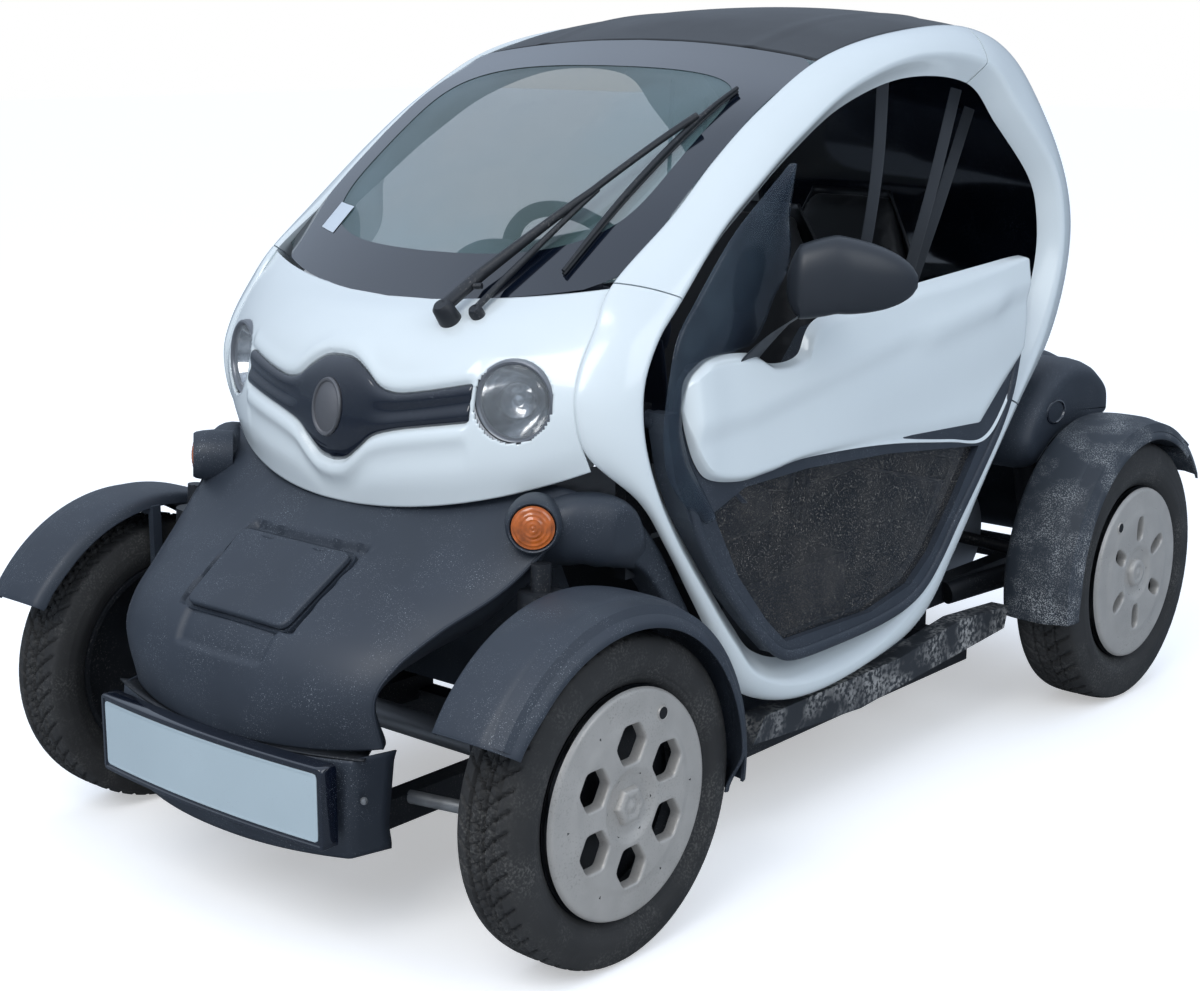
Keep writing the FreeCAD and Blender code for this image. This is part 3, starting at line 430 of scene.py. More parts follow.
def stage():
    """Camera at the photo's place, a pale floor that shows white, and plain soft light."""
    camera = linked("camera", bpy.data.cameras.new("camera"))
    azimuth, elevation, roll = (math.radians(v) for v in CAMERA_TURN)
    back = np.array([math.sin(azimuth) * math.cos(elevation), -math.cos(azimuth) * math.cos(elevation),
                     math.sin(elevation)])
    right = unit(np.cross((0, 0, 1), back))
    up = np.cross(back, right)
    right, up = right * math.cos(roll) + up * math.sin(roll), up * math.cos(roll) - right * math.sin(roll)
    turn = np.eye(4)
    turn[:3] = np.stack([right, up, back, CAMERA_AT], 1)
    camera.matrix_world = Matrix(turn.tolist())
    camera.data.lens, camera.data.sensor_width = CAMERA_LENS, SENSOR_WIDTH
    scene = bpy.context.scene
    scene.camera = camera
    scene.view_settings.view_transform = "Standard"

    # The sky shows white to the camera, and lights more from above than from the horizon
    scene.world = bpy.data.worlds.new("sky")
    scene.world.use_nodes = True
    tree = scene.world.node_tree
    sky = tree.nodes["Background"]
    shown = fed(tree, "Background", {"Color": (1, 1, 1, 1)})
    choose = fed(tree, "MixShader", {0: seen(tree), 1: sky.outputs[0], 2: shown.outputs[0]})
    feed(tree, tree.nodes["World Output"], {0: choose.outputs[0]})
    fade = ramp(tree, height_in(tree, "Generated"), 0.0, 0.75, (0.24, 0.30, 0.38, 1), (0.86, 1.00, 1.22, 1))
    feed(tree, sky, {"Color": fade, "Strength": 0.85})

    for name, place, size, power, colour in LIGHTS:
        lamp = linked(name, bpy.data.lights.new(name, "AREA"))
        lamp.data.size, lamp.data.energy, lamp.data.color = size, power, colour
        lamp.location = place
        lamp.rotation_euler = (Vector(place) - Vector(LIT)).to_track_quat("Z", "Y").to_euler()

    material, tree, shader = nodes_of("pale_floor")
    pale = mix(tree, noise(tree, 30.0, 4.0), (0.88, 0.88, 0.88, 1), (0.92, 0.92, 0.92, 1))
    glossy = fed(tree, "LightPath", {}).outputs["Is Glossy Ray"]
    feed(tree, shader, {"Base Color": mix(tree, glossy, pale, (0.20, 0.22, 0.24, 1)), "Roughness": 0.9,
                        "Emission Color": (1, 1, 1, 1), "Emission Strength": product(tree, seen(tree), 0.42)})
    mesh = bpy.data.meshes.new("floor")
    mesh.from_pydata([(x * FLOOR_HALF, y * FLOOR_HALF, 0) for x, y in ((-1, -1), (1, -1), (1, 1), (-1, 1))],
                     [], [(0, 1, 2, 3)])
    mesh.materials.append(material)
    linked("floor", mesh)


stage()

# Hoops

# Edge against the panels (x, y, z), crease at the opening (y, z), direction into the opening (y, z)
HOOP = [
    (470, 452, 298, 470, 328, 0.55, 0.83), (480, 376, 395, 400, 400, 0.80, 0.60),
    (480, 311, 492, 325, 500, 0.83, 0.55), (478, 244, 594, 255, 600, 0.86, 0.50),
    (468, 188, 676, 210, 681, 0.95, 0.30), (427, 112, 755, 182, 761, 1.00, 0.10),
    (418, 92, 830, 176, 828, 1.00, -0.05), (412, 108, 888, 188, 882, 0.95, -0.30),
    (407, 150, 950, 226, 940, 0.80, -0.60), (400, 203, 1017, 283, 991, 0.68, -0.73),
    (400, 347, 1111, 392, 1090, 0.62, -0.78), (400, 460, 1197, 492, 1156, 0.53, -0.85),
    (400, 588, 1277, 614, 1230, 0.45, -0.89), (400, 768, 1359, 786, 1311, 0.25, -0.97),
    (400, 1000, 1401, 1002, 1357, 0.00, -1.00), (400, 1240, 1409, 1229, 1341, -0.25, -0.97),
    (400, 1430, 1352, 1355, 1251, -0.70, -0.71), (400, 1590, 1210, 1490, 1137, -0.85, -0.53),
    (400, 1690, 1055, 1530, 1040, -0.99, -0.10), (400, 1695, 920, 1520, 930, -0.97, 0.25),
    (408, 1620, 780, 1450, 800, -0.88, 0.48), (430, 1440, 655, 1340, 680, -0.77, 0.64),
    (455, 1277, 545, 1246, 583, -0.72, 0.69), (475, 1140, 402, 1100, 452, -0.68, 0.73),
    (480, 1008, 287, 983, 356, -0.50, 0.87), (485, 795, 254, 791, 293, -0.08, 1.00),
    (485, 598, 250, 600, 288, 0.08, 1.00)]
HOOP_NODES = [("hoop_lower", 21, 36), ("hoop_roof", 9, 15), ("hoop_rear", 15, 21)]
JAMB, CROWN, LIP = 34.0, 9.0, 18.0


def hoop_band(levels):
    """Sections of the hoop: a crowned band from the panel edge to the crease, a rounded crease, then
    the jamb into the opening. The crown is a parabola and the crease a quadratic curve."""
    row = read_rows(HOOP, levels % len(HOOP), closed=True)
    a = row[:, :3]
    b = np.column_stack([side_x(row[:, 4]), row[:, 3], row[:, 4]])
    c = b + np.column_stack([np.full(len(row), -JAMB), row[:, 5] * JAMB, row[:, 6] * JAMB])
    across = unit(b - a)
    out = unit((b - c) - across * np.sum(across * (b - c), 1)[:, None])
    level = (c - b) + (b - a) * (JAMB / (b - a)[:, :1])
    d = a + unit(level) * LIP
    points = [d - out * 2, a - out * 7 + across * 0.4, a - out * 1.6 + across * 1.2]
    for share in (0.04, 0.12, 0.25, 0.38, 0.50, 0.62, 0.74, 0.84, 0.91):
        points.append(a + (b - a) * share + out * (4 * CROWN * share * (1 - share)))
    start, end = points[-1], b + (c - b) * 0.28
    for t in (0.2, 0.4, 0.6, 0.8, 1.0):
        points.append(bend(start, b + out * 1.5, end, t))
    points += [b + (c - b) * 0.6, c - out * 1.5, c - out * 7]
    return np.stack(points, 1)


for name, first, last in HOOP_NODES:
    levels = np.linspace(first + 0.012, last - 0.012, (last - first) * 14 + 1)
    piece(name + "_skin", both(ends_closed(hoop_band(levels))), WHITE, "body", [name])


# Panels between the hoops

# Edge x, y, z; middle y, z; outward y, z
NOSE = [(425, 122, 731, -20, 645, -1.0, -0.10), (421, 104, 778, -36, 712, -1.0, 0.0),
        (416, 96, 830, -32, 800, -1.0, 0.05), (410, 112, 888, -10, 890, -0.95, 0.30),
        (405, 154, 950, 46, 946, -0.80, 0.60), (PANEL_X, 206, 1008, 104, 974, -0.60, 0.80)]
SCREEN = [(PANEL_X, 240, 1020, 112, 981, -0.60, 0.80), (PANEL_X, 397, 1147, 312, 1140, -0.60, 0.80),
          (PANEL_X, 572, 1266, 528, 1278, -0.50, 0.87), (PANEL_X, 749, 1349, 757, 1381, -0.40, 0.92)]
ROOF = [(PANEL_X, 754, 1352, 762, 1383, -0.30, 0.95), (PANEL_X, 925, 1391, 930, 1424, -0.15, 0.99),
        (PANEL_X, 1110, 1409, 1120, 1443, 0.0, 1.0), (PANEL_X, 1300, 1400, 1310, 1438, 0.10, 0.99),
        (PANEL_X, 1418, 1360, 1450, 1396, 0.30, 0.95)]
REAR_PANEL = [(PANEL_X, 1424, 1340, 1452, 1378, 0.70, 0.70), (PANEL_X, 1585, 1200, 1622, 1222, 0.80, 0.60),
              (PANEL_X, 1682, 1055, 1722, 1065, 1.0, 0.10), (PANEL_X, 1687, 920, 1728, 912, 1.0, -0.10),
              (PANEL_X, 1612, 785, 1650, 770, 0.90, -0.45)]
FRONT_BODY = [(302, -231, 338, -300, 322, -1.0, 0.0), (303, -248, 418, -303, 410, -1.0, 0.10),
              (318, -215, 475, -262, 494, -0.80, 0.60), (345, -140, 526, -160, 565, -0.50, 0.87),
              (392, -35, 587, -45, 627, -0.50, 0.87), (436, 108, 704, 96, 712, -0.50, 0.87)]


def panel(rows, x, level, stand=0.0):
    """A point of a panel: at each level a circle's arc through both edges and the middle, moved
    outward by stand."""
    ex, ey, ez, my, mz, ny, nz = np.moveaxis(read_rows(rows, level), -1, 0)
    bow = np.hypot(my - ey, mz - ez)
    radius = (ex ** 2 + bow ** 2) / (2 * bow)
    x = np.clip(x, -ex, ex)
    share = (np.sqrt(radius ** 2 - x ** 2) - (radius - bow)) / bow
    size = np.hypot(ny, nz)
    return np.stack([x, ey + (my - ey) * share + ny / size * stand,
                     ez + (mz - ez) * share + nz / size * stand], -1)


def level_of(rows, x, z):
    """The level of a panel whose height at x is z, found by halving."""
    low, high = np.zeros(np.shape(z)), np.full(np.shape(z), len(rows) - 1.0)
    for _ in range(26):
        middle = (low + high) / 2
        under = panel(rows, x, middle)[..., 2] < z
        low, high = np.where(under, middle, low), np.where(under, high, middle)
    return (low + high) / 2


def panel_grid(rows, across, up, stand=None):
    """A whole panel on a grid of x shares and levels, moved outward by stand(points, x shares)."""
    share, level = np.meshgrid(np.linspace(-1, 1, across), np.linspace(0, len(rows) - 1, up), indexing="ij")
    x = share * read_rows(rows, level)[..., 0]
    base = panel(rows, x, level)
    return grid(base if stand is None else panel(rows, x, level, stand(base, share)))


LAMP_X, LAMP_Y, LAMP_Z, LAMP_R = 321.0, 62.0, 838.0, 62.5
LAMP_WAY = unit(np.array((0.36, -0.93, 0.06)))
BAND_TOP = [(0, 893), (34, 889), (66, 872), (96, 850), (130, 843), (180, 850), (262, 868)]
BAND_LOW = [(0, 712), (30, 718), (58, 738), (88, 762), (130, 776), (180, 786), (262, 800)]


def band_edge(table, x):
    """The band's edge height: the table's curve read at the distance from the middle."""
    line = curve(table, 120)
    return np.interp(np.abs(x), line[:, 0], line[:, 1])


def nose_stand(base):
    """The nose's relief: a recess under the band, a soft ridge below it and a roll at its top."""
    x, z = base[..., 0], base[..., 2]
    top, low = band_edge(BAND_TOP, x), band_edge(BAND_LOW, x)
    near = smooth(262 - np.abs(x), -6, 10)
    recess = -8 * smooth(z, low - 5, low + 4) * (1 - smooth(z, top - 4, top + 5)) * near
    ridge = 5.0 * bump(z, low - 16, 13) * near - 2.5 * bump(z, low - 46, 20) * near
    brow = 3.0 * bump(z, top + 14, 12) * near
    return recess + ridge + brow


def nose():
    """The white nose with open round seats for the lamps."""
    points, quads = panel_grid(NOSE, 221, 110, lambda base, _: nose_stand(base))
    middle = points[quads].mean(1)
    keep = np.ones(len(quads), bool)
    for sign in (1, -1):
        centre = np.array((LAMP_X * sign, LAMP_Y, LAMP_Z))
        way = LAMP_WAY * (sign, 1, 1)
        off = middle - centre
        reach = np.linalg.norm(off - (off @ way)[:, None] * way, axis=1)
        keep &= reach > LAMP_R + 2.5
    keep &= middle[:, 2] > 654.5 + 0.6 * middle[:, 1]
    return points, quads[keep]


piece("nose_skin", nose(), WHITE, "body", ["nose_panel"], solid=6.0)


def grille_band():
    """The gloss band: across its height a flat-topped swell, with one broad low bulge in the middle."""
    x, share = np.meshgrid(np.linspace(-264, 264, 133), np.linspace(0, 1, 25), indexing="ij")
    low, top = band_edge(BAND_LOW, x) + 1.5, band_edge(BAND_TOP, x) - 1.5
    z = low + (top - low) * share
    swell = 1 - np.abs(2 * share - 1) ** 6
    stand = -7.5 + 9.0 * swell + 9.0 * bump(x, 0, 62) * (1 - (2 * share - 1) ** 2) * swell
    stand -= 4.0 * bump(np.abs(2 * share - 1), 0, 0.35) * smooth(np.abs(x), 70, 130)
    points = panel(NOSE, x, level_of(NOSE, x, z), stand)
    return grid(points)


piece("grille_band_skin", grille_band(), GLOSS, "body", ["grille_band"], solid=3.0)


def oval_boss():
    """A plain oval badge seat: rings of one ellipse with a raised rim and a softly domed face."""
    turn = turns(72)
    rows = []
    for size, stand in ((1.0, 8), (0.99, 12), (0.95, 14.5), (0.88, 14.0), (0.84, 11.5), (0.6, 14.5),
                        (0.3, 16.5), (0.0, 17)):
        x, z = 33 * size * np.cos(turn), 804 + 47 * size * np.sin(turn)
        rows.append(panel(NOSE, x, level_of(NOSE, x, z), stand))
    return grid(np.stack(rows), wrap_v=True, flip=True)


piece("nose_boss", oval_boss(), CAST, "body", solid=2.0)


def headlamp(sign):
    """Bowl, bulb, bezel and domed lens, turned about the lamp's axis."""
    inner = np.linspace(0, 1, 14)
    bowl = [(-48 + 46 * t ** 2.2, LAMP_R * 0.93 * t ** 0.8 + 0.01) for t in inner]
    bulb = [(-46, 0.01), (-46, 11), (-22, 12), (-14, 9), (-12, 0.01)]
    bezel = [(-4, 57.5), (3, 58.0), (7, 60.5), (8.0, 63.0), (6.0, 66.0), (-1, 67.5), (-12, 67.0), (-12, 60.0)]
    lens = [(12 - 9.0 * (t ** 2), 58.5 * t + 0.01) for t in inner]
    centre = np.array((LAMP_X * sign, LAMP_Y, LAMP_Z))
    return [turned(profile, centre, LAMP_WAY * (sign, 1, 1), steps)
            for profile, steps in ((bowl, 96), (bulb, 32), (bezel, 96), (lens, 96))]


# Chrome whose colour swings at random between dark and bright patches: painted reflections that stand for a
# faceted reflector's bright and dark facets; the bowl itself is smooth
CHROME_PAINTED_FACETS = finish("bowl_painted_facet_reflections", (0.80, 0.81, 0.82), 0.10, shade=0.35, cloud=70.0, metal=1.0, rough_range=0.05)
BEZEL = finish("lamp_bezel", (0.20, 0.21, 0.23), 0.3, shade=0.8, metal=0.4)
# The bowls and bulbs take the chrome with painted facet reflections
for parts, (name, surface, slot, replaced) in zip(zip(headlamp(1), headlamp(-1)), (
        ("lamp_bowls", CHROME_PAINTED_FACETS, "lamp_bowl", ["headlamps"]), ("lamp_bulbs", CHROME_PAINTED_FACETS, "lamp_bowl", []),
        ("lamp_bezels", BEZEL, "dark_plastic", []),
        ("lamp_glasses", LENS, "lamp_lens", ["headlamp_lenses"]))):
    piece(name, joined(*parts), surface, "body", replaced)


# Screen and roof

FRIT_LOW, FRIT_HIGH, FRIT_SIDE = 0.36, 2.55, 0.86


def frit():
    """The dark border printed inside the glass: a ring between the glass edge and an inner line that
    bows like the photo's, wide at the foot and the top and narrow at the sides."""
    share, rise = superellipse(240, 0.42, 0.42)
    middle, half = (FRIT_LOW + FRIT_HIGH) / 2, (FRIT_HIGH - FRIT_LOW) / 2
    outer = np.stack([np.clip(share * 1.12, -1, 1), np.clip(1.5 + rise * 1.68, -0.06, 3)], -1)
    inner = np.stack([share * FRIT_SIDE, middle + rise * half], -1)
    rows = []
    for t in np.linspace(0, 1, 9):
        spot = outer + (inner - outer) * t
        rows.append(panel(SCREEN, spot[:, 0] * PANEL_X, spot[:, 1], 1.2))
    return grid(np.stack(rows), wrap_v=True, flip=True)


def roof_stand(_, share):
    """The roof's relief: rolled sides and a low ridge near each."""
    return -3.0 * np.abs(share) ** 14 + 2.5 * bump(np.abs(share), 0.62, 0.03)


piece("screen_glass", panel_grid(SCREEN, 61, 61), CLEAR, "body", ["windscreen"], solid=4.0)
piece("screen_frit", frit(), FRIT, "body")
piece("roof_skin", panel_grid(ROOF, 61, 61, roof_stand), ROOF_BLACK, "body", ["roof_panel"],
      solid=6.0)
piece("rear_screen", panel_grid(REAR_PANEL, 61, 61), GLOSS, "body", ["rear_panel"], solid=6.0)


# Doors

SKIN_TOP = [(254, 822), (262, 862), (290, 882), (333, 893), (433, 886), (490, 862), (568, 867), (618, 920),
            (772, 939), (971, 954), (1187, 966), (1300, 971), (1338, 966), (1345, 936)]
SKIN_LOW = [(254, 822), (262, 782), (284, 730), (318, 700), (399, 684), (483, 686), (600, 692),
            (855, 672), (1060, 644), (1188, 627), (1268, 678), (1328, 766), (1346, 866), (1347, 936)]
GLASS_LOW = [(306, 640), (350, 560), (410, 470), (470, 402), (530, 366), (640, 362), (790, 366), (925, 386),
             (1000, 432), (1080, 508), (1150, 582), (1190, 640), (1123, 650), (855, 680), (600, 700),
             (420, 700), (330, 690)]
RIM_PATH = [(262, 700), (280, 646), (306, 588), (371, 498), (446, 416), (504, 366), (560, 350), (680, 348),
            (800, 351), (900, 362), (970, 386), (1030, 430), (1096, 494), (1176, 568), (1254, 646),
            (1300, 712), (1330, 790)]


def on_door(y, z, w):
    """A point that stands w outside the leaned side plane."""
    return np.stack([side_x(z) + w, y, z], -1)


def skin_relief(y, z, share):
    """How far the skin stands out: a tilted upper band, a crease, a shallow hollow, a lower return that
    turns under, and a long bright swage that rises to the rear."""
    crease = np.interp(y, [254, 420, 640, 900, 1330], [800, 806, 838, 876, 925])
    below = np.clip(crease - z, 0, 400)
    w = 36 - 0.10 * np.clip(z - crease, 0, 200) - 10.0 * smooth(below, 0, 46)
    w -= 12.0 * smooth(below, 70, 190) * smooth(y, 420, 900)
    lip = np.interp(y, [254, 500, 855, 1180, 1330], [716, 716, 706, 690, 800])
    w -= 13.0 * smooth(lip - z, 0, 50) * smooth(y, 380, 700)
    along = (y - 860) / 380
    swage = crease - 32 + 10 * along
    w += 9.0 * bump(z, swage, 26) * smooth(along, 0.0, 0.35) * (1 - smooth(along, 0.85, 1.1))
    w += 5.0 * bump(y, 292, 44)
    rim = np.minimum(share, 1 - share)
    ends = np.minimum(y - 252, 1347 - y)
    edge = np.minimum(smooth(rim, -0.002, 0.06), smooth(ends, -1, 22))
    return 12 + (w - 12) * edge ** 0.6


def between(first, last, share):
    """Points at their shares of the straight runs from one line to the other."""
    return first[:, None] + (last - first)[:, None] * share[None, :, None]


def door_skin():
    """The white skin: straight runs from the lower outline to the upper one, stood out by its relief."""
    share = (1 - np.cos(np.linspace(0, np.pi, 46))) / 2
    flat = between(curve(SKIN_LOW, 200), curve(SKIN_TOP, 200), share)
    w = skin_relief(flat[..., 0], flat[..., 1], share[None, :])
    return grid(on_door(flat[..., 0], flat[..., 1], w), flip=True)


def lower_pane():
    """The smoked lower pane: a slightly bowed plate over a smooth outline in the door's plane."""
    rim = curve(GLASS_LOW, 160, closed=True)[:-1]
    middle = rim.mean(0)
    rows = [on_door(rim[:, 0], rim[:, 1], -6.0)]
    for share in np.linspace(1, 0, 14):
        spot = middle + (rim - middle) * share
        rows.append(on_door(spot[:, 0], spot[:, 1], -3.0 + 4.0 * (1 - share ** 2)))
    return grid(np.stack(rows), wrap_v=True, flip=True)


def door_rim():
    """A half-round rib carried along the rim's line in the door's plane."""
    line = curve(RIM_PATH, 150)
    way = unit(np.gradient(line, axis=0))
    turn = np.linspace(0, np.pi, 11)
    spot = line[:, None] + np.stack([-way[:, 1], way[:, 0]], 1)[:, None] * (np.cos(turn) * 10)[None, :, None]
    return grid(on_door(spot[..., 0], spot[..., 1], 9.0 + np.sin(turn) ** 0.6 * 7))


def deflector():
    """The tinted front pane: a strip between its front edge, which follows the hoop, and a wavy rear
    edge, bowed a little outward."""
    front = curve([(308, 628), (252, 668), (216, 716), (206, 764), (210, 812), (226, 874), (248, 933),
                   (294, 983), (396, 1079), (494, 1145), (560, 1186)], 120)
    rear = curve([(330, 640), (296, 692), (268, 738), (252, 800), (266, 850), (310, 880), (400, 896),
                  (452, 908), (505, 966), (540, 1010), (556, 1060), (562, 1120), (566, 1188)], 120)
    rear[:, 0] += 5.0 * np.sin(np.linspace(0, 34, 120)) * smooth(np.arange(120), 70, 86)
    share = np.linspace(0, 1, 16)
    flat = between(front, rear, share)
    return grid(on_door(flat[..., 0], flat[..., 1], 11.5 + 10.0 * np.sin(np.pi * share)))


def mirror_shell():
    """The swept-back mirror: superellipse sections along a line, tallest a third of the way out."""
    share = np.linspace(0, 1, 30)
    path = np.stack([np.interp(share, [0, 1], [538, 684]), np.interp(share, [0, 0.5, 1], [478, 548, 640]),
                     np.interp(share, [0, 0.4, 1], [1000, 1016, 1002])], 1)
    tall = 64 * (1 - ((share - 0.34) / 0.67) ** 2 * np.where(share < 0.34, 0.9, 1.0)) ** 0.5
    deep = 42 * (1 - (np.abs(share - 0.42) / 0.60) ** 2.4) ** 0.5
    tall, deep = (np.nan_to_num(size * np.clip(share / 0.10, 0.05, 1) ** 0.4, nan=0.5)
                  for size in (tall, deep))
    return ends_closed(carried(path, superellipse(44, 0.75, 0.85), deep, (-0.62, 0.785, 0.0),
                               tall, (0, 0, 1.0)))


def mirror_foot():
    """The stalk: a tapered four-sided arm from the skin's notch up to the mirror, edges rounded."""
    path = curve([(482, 408, 846), (506, 432, 886), (528, 462, 922), (556, 496, 950)], 16)
    size = np.interp(np.arange(16), [0, 5, 15], [50, 46, 38])
    return ends_closed(carried(path, superellipse(28, 0.45, 0.45, 0.4), size, (0.0, 0.97, 0.24),
                               15, (0.80, -0.14, 0.58)))


def inner_panel():
    """The moulded inner face of the door's nose, seen through the tinted pane: a hollow dished strip."""
    front = curve([(348, 606), (300, 676), (270, 730), (262, 800), (268, 846), (290, 872)], 60)
    rear = curve([(430, 640), (372, 690), (330, 730), (308, 790), (318, 846), (352, 884)], 60)
    share = np.linspace(0, 1, 18)
    flat = between(front, rear, share)
    return grid(on_door(flat[..., 0], flat[..., 1], 6 - 34 * np.sin(np.pi * share) ** 0.7))


for side, sided in SIDED:
    for name, part, surface, slot, replaced, wall in (
            ("door_skin_panel_", door_skin(), WHITE, "white_paint", ["door_skin_" + side], 3.0),
            ("door_lower_pane_", lower_pane(), SMOKED, "dark_glazing", ["door_glazing_" + side], 0.0),
            ("door_deflector_", deflector(), DEFLECT, "dark_glazing", [], 2.0),
            ("door_rim_", door_rim(), DARK, "dark_plastic", [], 0.0),
            ("door_inner_", inner_panel(), DARK, "dark_plastic", [], 2.0),
            ("mirror_shell_", joined(mirror_shell(), mirror_foot()), MIRROR_BLACK, "dark_plastic",
             ["mirror_" + side], 0.0)):
        piece(name + side, sided(part), surface, "door_" + side, replaced, solid=wall)


# Front body

FLAP_TOP, FLAP_LOW = np.array((0, -113.0, 594.0)), np.array((0, -250.0, 501.0))
FLAP_RUN = unit(FLAP_LOW - FLAP_TOP)
FLAP_OUT = np.array((0, FLAP_RUN[2], -FLAP_RUN[1]))
ARM = [(330, 50, 600, 26, 30), (362, 62, 618, 36, 42), (394, 80, 636, 42, 52), (424, 106, 644, 42, 56),
       (443, 140, 634, 38, 57), (447, 172, 612, 30, 44), (443, 206, 584, 20, 24)]
CHEEK_REAR = [(132, 672), (165, 677), (242, 597), (307, 498), (371, 402), (438, 317), (450, 262)]
CHEEK_FRONT = [(112, 628), (150, 595), (212, 554), (264, 492), (320, 412), (352, 337), (354, 254)]


def hood_stand(base, share):
    """The hood's relief: rolled sides, a flat bed for the charge flap and a shallow scoop below it."""
    x, z = base[..., 0], base[..., 2]
    roll = -16 * np.abs(share) ** 10
    bed = smooth(140 - np.abs(x), 0, 7) * smooth(z, 494, 500) * (1 - smooth(z, 598, 604))
    scoop = smooth(112 - np.abs(x) - 0.002 * (z - 500) ** 2, 0, 12) * smooth(z, 442, 452) * (
        1 - smooth(z, 498, 512))
    return roll - 8.0 * scoop * (1 - bed) - 12.0 * bed


def hood_sides():
    """The walls under the hood's edges: from the rolled edge inward and back to the wheel bay."""
    level = np.linspace(0, 4.6, 60)
    edge = panel(FRONT_BODY, read_rows(FRONT_BODY, level)[:, 0], level, -14.0)
    deep = edge + np.stack([np.interp(level, [0, 4.6], [-62, -96]), np.full(60, 60.0),
                            np.interp(level, [0, 2, 4.6], [-6, -50, -90])], -1)
    share = np.linspace(0, 1, 12)
    points = between(edge, deep, share)
    points[..., 0] += 6 * np.sin(np.pi * share)
    return grid(points, flip=True)


def shoulder():
    """The arm from the hood to the hoop: rounded sections carried along a bent line, flat outside."""
    row = read_rows(ARM, np.linspace(0, len(ARM) - 1, 80))
    path, wide, tall = row[:, :3], row[:, 3], row[:, 4]
    way = unit(np.gradient(path, axis=0))
    out = unit(np.cross(way, np.cross((1.0, -0.25, 0.0), way)))
    rings = carried(path, superellipse(40, 0.7, 0.8), wide, out, -tall, np.cross(out, way))
    rings[..., 0] = np.minimum(rings[..., 0], 476 + 0.02 * (rings[..., 0] - 476))
    return ends_closed(rings)


def cheek():
    """The dark web behind the wheel, from the shoulder down the hoop: rounded sections between its
    front and rear edges."""
    front, rear = (read_rows(table, np.linspace(0, 6, 70)) for table in (CHEEK_FRONT, CHEEK_REAR))
    a, b = superellipse(40, 0.35, 0.35)
    flat = (front + rear)[:, None] / 2 + (rear - front)[:, None] / 2 * a[None, :, None]
    x = 440 + 27 * b[None, :] + 0 * flat[..., 0]
    return ends_closed(np.stack([x, flat[..., 0], flat[..., 1]], -1))


def flap_space(points):
    """Flap coordinates (across, down the slope, outward) to the vehicle's."""
    return (FLAP_TOP + points[..., :1] * (1.0, 0, 0) + points[..., 1:2] * FLAP_RUN
            + points[..., 2:] * FLAP_OUT)


def rounded(corners, radius):
    """A polygon with round corners, its points in order."""
    c = np.asarray(corners, float)
    t = np.linspace(0, 1, 8)[:, None]
    return np.vstack([bend(here + unit(before - here) * radius, here, here + unit(after - here) * radius, t)
                      for before, here, after in zip(np.roll(c, 1, 0), c, np.roll(c, -1, 0))])


def flap_cover():
    """The charge flap: a rounded plate with a soft rim and two plain hinge humps."""
    outline = rounded([(-131, 0), (131, 0), (118, 165), (-118, 165)], 16)
    lid = [plate(outline, [(0, -6), (0, 0.5), (1.2, 2.4), (4, 3.4), (12, 3.6)], flap_space, flip=True),
           plate(outline, [(0, -6), (12, -6)], flap_space)]
    swell = np.sin(np.linspace(0.25, np.pi - 0.25, 9)) ** 0.4
    lines = [np.stack([np.linspace(x - 15, x + 15, 9), np.full(9, 8.0), np.full(9, 1.6)], -1)
             for x in (-62, 62)]
    humps = [tube(flap_space(line), 4.2, 12, swell) for line in lines]
    return joined(*lid, *humps)


def hinge_strip():
    """A flat band behind the flap's top edge that closes its bay, with the gap left round the flap."""
    outer = rounded([(-139, -7), (139, -7), (126, 173), (-126, 173)], 20)
    return plate(outer, [(0, -14), (0, -5.0), (6, -9.5), (14, -9.5)], flap_space, flip=True)


INDICATOR_AT, INDICATOR_WAY = np.array((407.0, 7.0, 660.0)), unit(np.array((0.62, -0.78, 0.05)))


def ringed_dome(size, count, peak, drop, ridge, pitch):
    """A lens's profile: a parabola with fine cosine rings."""
    return [(peak - drop * (r / size) ** 2 + ridge * math.cos(r * pitch), r + 0.01)
            for r in np.linspace(0, size, count)]


def indicator(sign):
    """Round amber lens with rings, and the flared cup that it sits in."""
    centre, way = INDICATOR_AT * (sign, 1, 1), INDICATOR_WAY * (sign, 1, 1)
    dome = ringed_dome(34, 18, 5.5, 6.5, 0.7, 0.9)
    cup = [(-34, 30), (-6, 35.2), (1.5, 36.5), (2.6, 38.5), (-2, 41.5), (-14, 44), (-34, 46), (-66, 44)]
    return turned(dome + [(-12, 34)], centre, way, 72), turned(cup[::-1], centre, way, 72)


lenses, cups = zip(indicator(1), indicator(-1))
piece("hood_shell", panel_grid(FRONT_BODY, 121, 121, hood_stand), DARK, "body",
      ["front_body"], solid=5.0)
piece("hood_walls", both(hood_sides()), DARK, "body", solid=2.0)
piece("shoulder_arms", both(shoulder()), DARK, "body")
piece("cheek_skins", both(cheek()), DARK, "body")
piece("flap_bay", hinge_strip(), DARK, "body")
piece("flap_lid", flap_cover(), DARK, "charge_flap", ["charge_flap"])
piece("indicator_lenses", joined(*lenses), AMBER, "body", ["front_indicators"])
piece("indicator_cups", joined(*cups), DARK, "body")


def bumper_skin():
    """The bumper: a bowed face whose ends turn back round a soft corner."""
    share, rise = np.meshgrid(np.linspace(-1, 1, 121), np.linspace(0, 1, 24), indexing="ij")
    half = np.interp(rise, [0, 1], [282, 304])
    z = np.interp(rise, [0, 1], [168, 330]) - 8 * (1 - np.abs(share) ** 2)
    z = z - np.where(rise < 0.2, (1 - rise / 0.2) ** 2 * 6, 0)
    y = -256 - 50 * (1 - np.abs(share) ** 2.2) + 70 * np.clip(np.abs(share) - 0.93, 0, 1) * 14 * 0.9
    y = y + 10 * bump(rise, 0.0, 0.16) + 4 * bump(rise, 1.0, 0.05)
    return grid(np.stack([share * half, y, z], -1))


